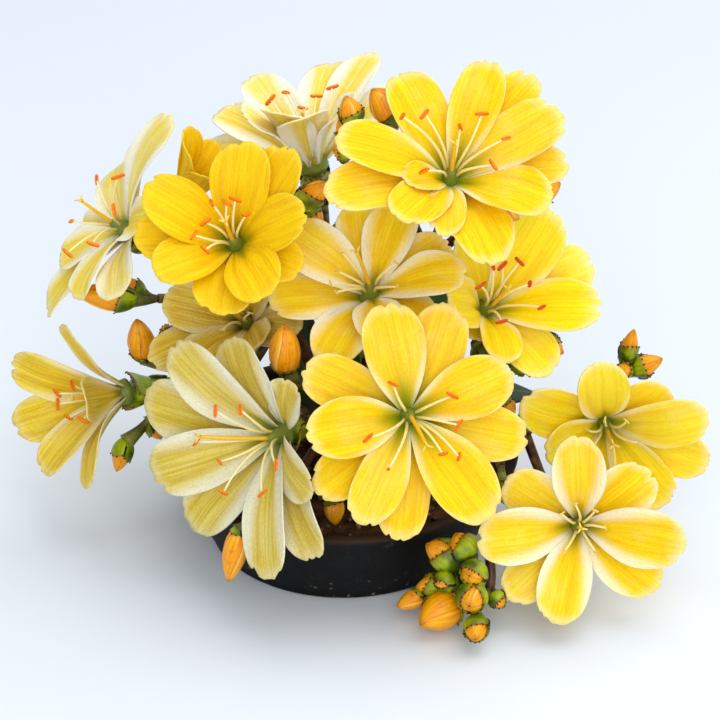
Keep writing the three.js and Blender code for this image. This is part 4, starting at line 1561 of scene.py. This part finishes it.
BUD_GROUPS = (
    BudGroup("buds_front", ((23, -26, 12.5), (23, -29, 7), (21, -29, 4.5)), (
        ((18.5, -28.5, 4.6), (12, -34, 3.6), 3.2, 0.3), ((19, -27, 10), (13, -27, 14), 2.6, 0.88),
        ((20, -28, 12), (17.5, -27, 16), 2.4, 0.86), ((20.5, -31, 8), (19.5, -36, 8.5), 2.4, 0.82),
        ((21, -30, 11), (19.5, -33.5, 12.5), 2.1, 0.9), ((17, -29, 8.5), (14.5, -31, 9.5), 1.7, 1.0),
        ((21, -33, 4), (20.5, -38.5, 4), 1.9, 0.8), ((17.5, -26.5, 6.5), (11.5, -28, 6.5), 1.9, 0.85),
        ((13.5, -26.5, 4.5), (8.5, -28.5, 3), 1.7, 0.4), ((23.5, -29.5, 6.6), (25, -32, 5.4), 1.3, 0.9),
    )),
    BudGroup("buds_right", ((40.5, 8.5, 21), (44, 8, 23), (46.5, 6.5, 25)), (
        ((46.5, 6, 28), (47.5, 5, 34.5), 1.4, 0.6), ((47.5, 6, 26), (52.5, 5, 29), 1.8, 0.6),
        ((46.5, 5, 27), (45.5, 2, 28), 1.3, 0.6),
    )),
    BudGroup("buds_left", ((-14, 6.5, 40.5), (-19, 6.5, 40), (-26, 5.5, 40), (-30, 4.5, 40.5)), (
        ((-33, 3, 41), (-43, 2, 43), 2.4, 0.36), ((-32, 5, 40.5), (-37.5, 6, 43), 2, 0.45),
    )),
    BudGroup("buds_upright_left", ((-25, 6.5, 24), (-28, 5.5, 26.5)), (
        ((-32.5, 4, 29), (-33.5, 3, 37.5), 2.4, 0.3), ((-28.5, 6, 31), (-29, 5, 35.5), 1.3, 0.9),
    )),
    BudGroup("buds_low_left", ((-26.5, 7, 20), (-31, 5.5, 19)), (
        ((-36, 2, 15.5), (-38, 1, 9.5), 1.7, 0.6), ((-32.5, 4.5, 17.5), (-30.5, 4, 14), 1.5, 0.6),
    )),
    BudGroup("buds_middle", ((-1.5, -5, 26), (-5, -9.5, 31.5)), (
        ((-9, -13, 36.5), (-9, -13, 45.5), 2.7, 0.2), ((-3.5, -4, 36.5), (-2, -6, 41.5), 1.5, 0.6),
    )),
    BudGroup("bud_hanging_front", ((-3.5, -9, 22), (-8, -17, 19.5), (-13, -24.5, 18.3)), (
        ((-15.8, -27, 17.5), (-18, -28, 7.5), 2.1, 0.14),
    )),
    BudGroup("bud_under_flower_01", ((1, -9.5, 22.5), (-1, -15, 22), (-1.5, -19, 20)), (
        ((-1.5, -20, 18.5), (-1.2, -22.3, 14.3), 1.8, 0.3),
    )),
    BudGroup("buds_top_left", ((-5, 13, 46), (-6.5, 10, 51), (-7, 7, 54.5)), (
        ((-7, 4, 57.5), (-2.5, 1, 63), 2.1, 0.78), ((-5.5, 6, 56), (-3.5, 4.5, 53.5), 1.6, 0.5),
    )),
    BudGroup("buds_top_centre", ((13, 7.5, 48.5), (9, 7.5, 58), (6, 2.5, 66)), (
        ((2, 1.5, 72.5), (0.5, 1.5, 77.5), 1.9, 0.6), ((1.5, 1, 68.5), (-1.5, 0, 69), 1.7, 0.85),
        ((1, 2, 69.5), (-0.5, 2, 73.5), 1.4, 0.6), ((8.5, 4, 72.5), (4.5, 4, 77.5), 2.7, 0.3),
    )),
    BudGroup("buds_top_right", ((16.5, 6.5, 49), (21, 5, 54), (25, 1.5, 58)), (
        ((29.5, 1, 60), (34, 1, 63), 1.9, 0.6), ((24.5, -1, 60), (27.5, -2, 58), 1.6, 0.6),
    )),
    BudGroup("buds_mid_right", ((16, 4, 26), (22, 3.5, 28), (27.5, 1.5, 31)), (
        ((31, -1, 36), (35.5, -2, 34), 2, 0.85), ((28.5, 0, 33), (29, -1, 29), 1.6, 0.9),
        ((29.5, 0, 31.5), (31.5, -1, 29), 1.2, 0.85),
    )),
    BudGroup("buds_inner_right", ((14.5, 2, 26), (19, -1.5, 29), (21, -4, 33)), (
        ((21.5, -5, 38), (23.5, -6, 34), 2, 0.85), ((25.5, -7, 28), (27.5, -8, 26), 1.5, 0.3),
    )),
    BudGroup("bud_low_right", ((20, -5.5, 22), (24, -12, 22), (25, -16, 21.5)), (
        ((25, -18, 20), (26, -19, 16), 1.6, 0.6),
    )),
)


def main() -> None:
    """Builds the plant in its pot, and the studio round it."""
    logging.basicConfig(level=logging.INFO, format="%(message)s")
    Studio().build()
    for grown in (Pot(), Soil(), Crown(), *LEAVES, *SCAPES, *FLOWERS.values(), *BUD_GROUPS):
        grown.build()


if __name__ == "__main__":
    main()
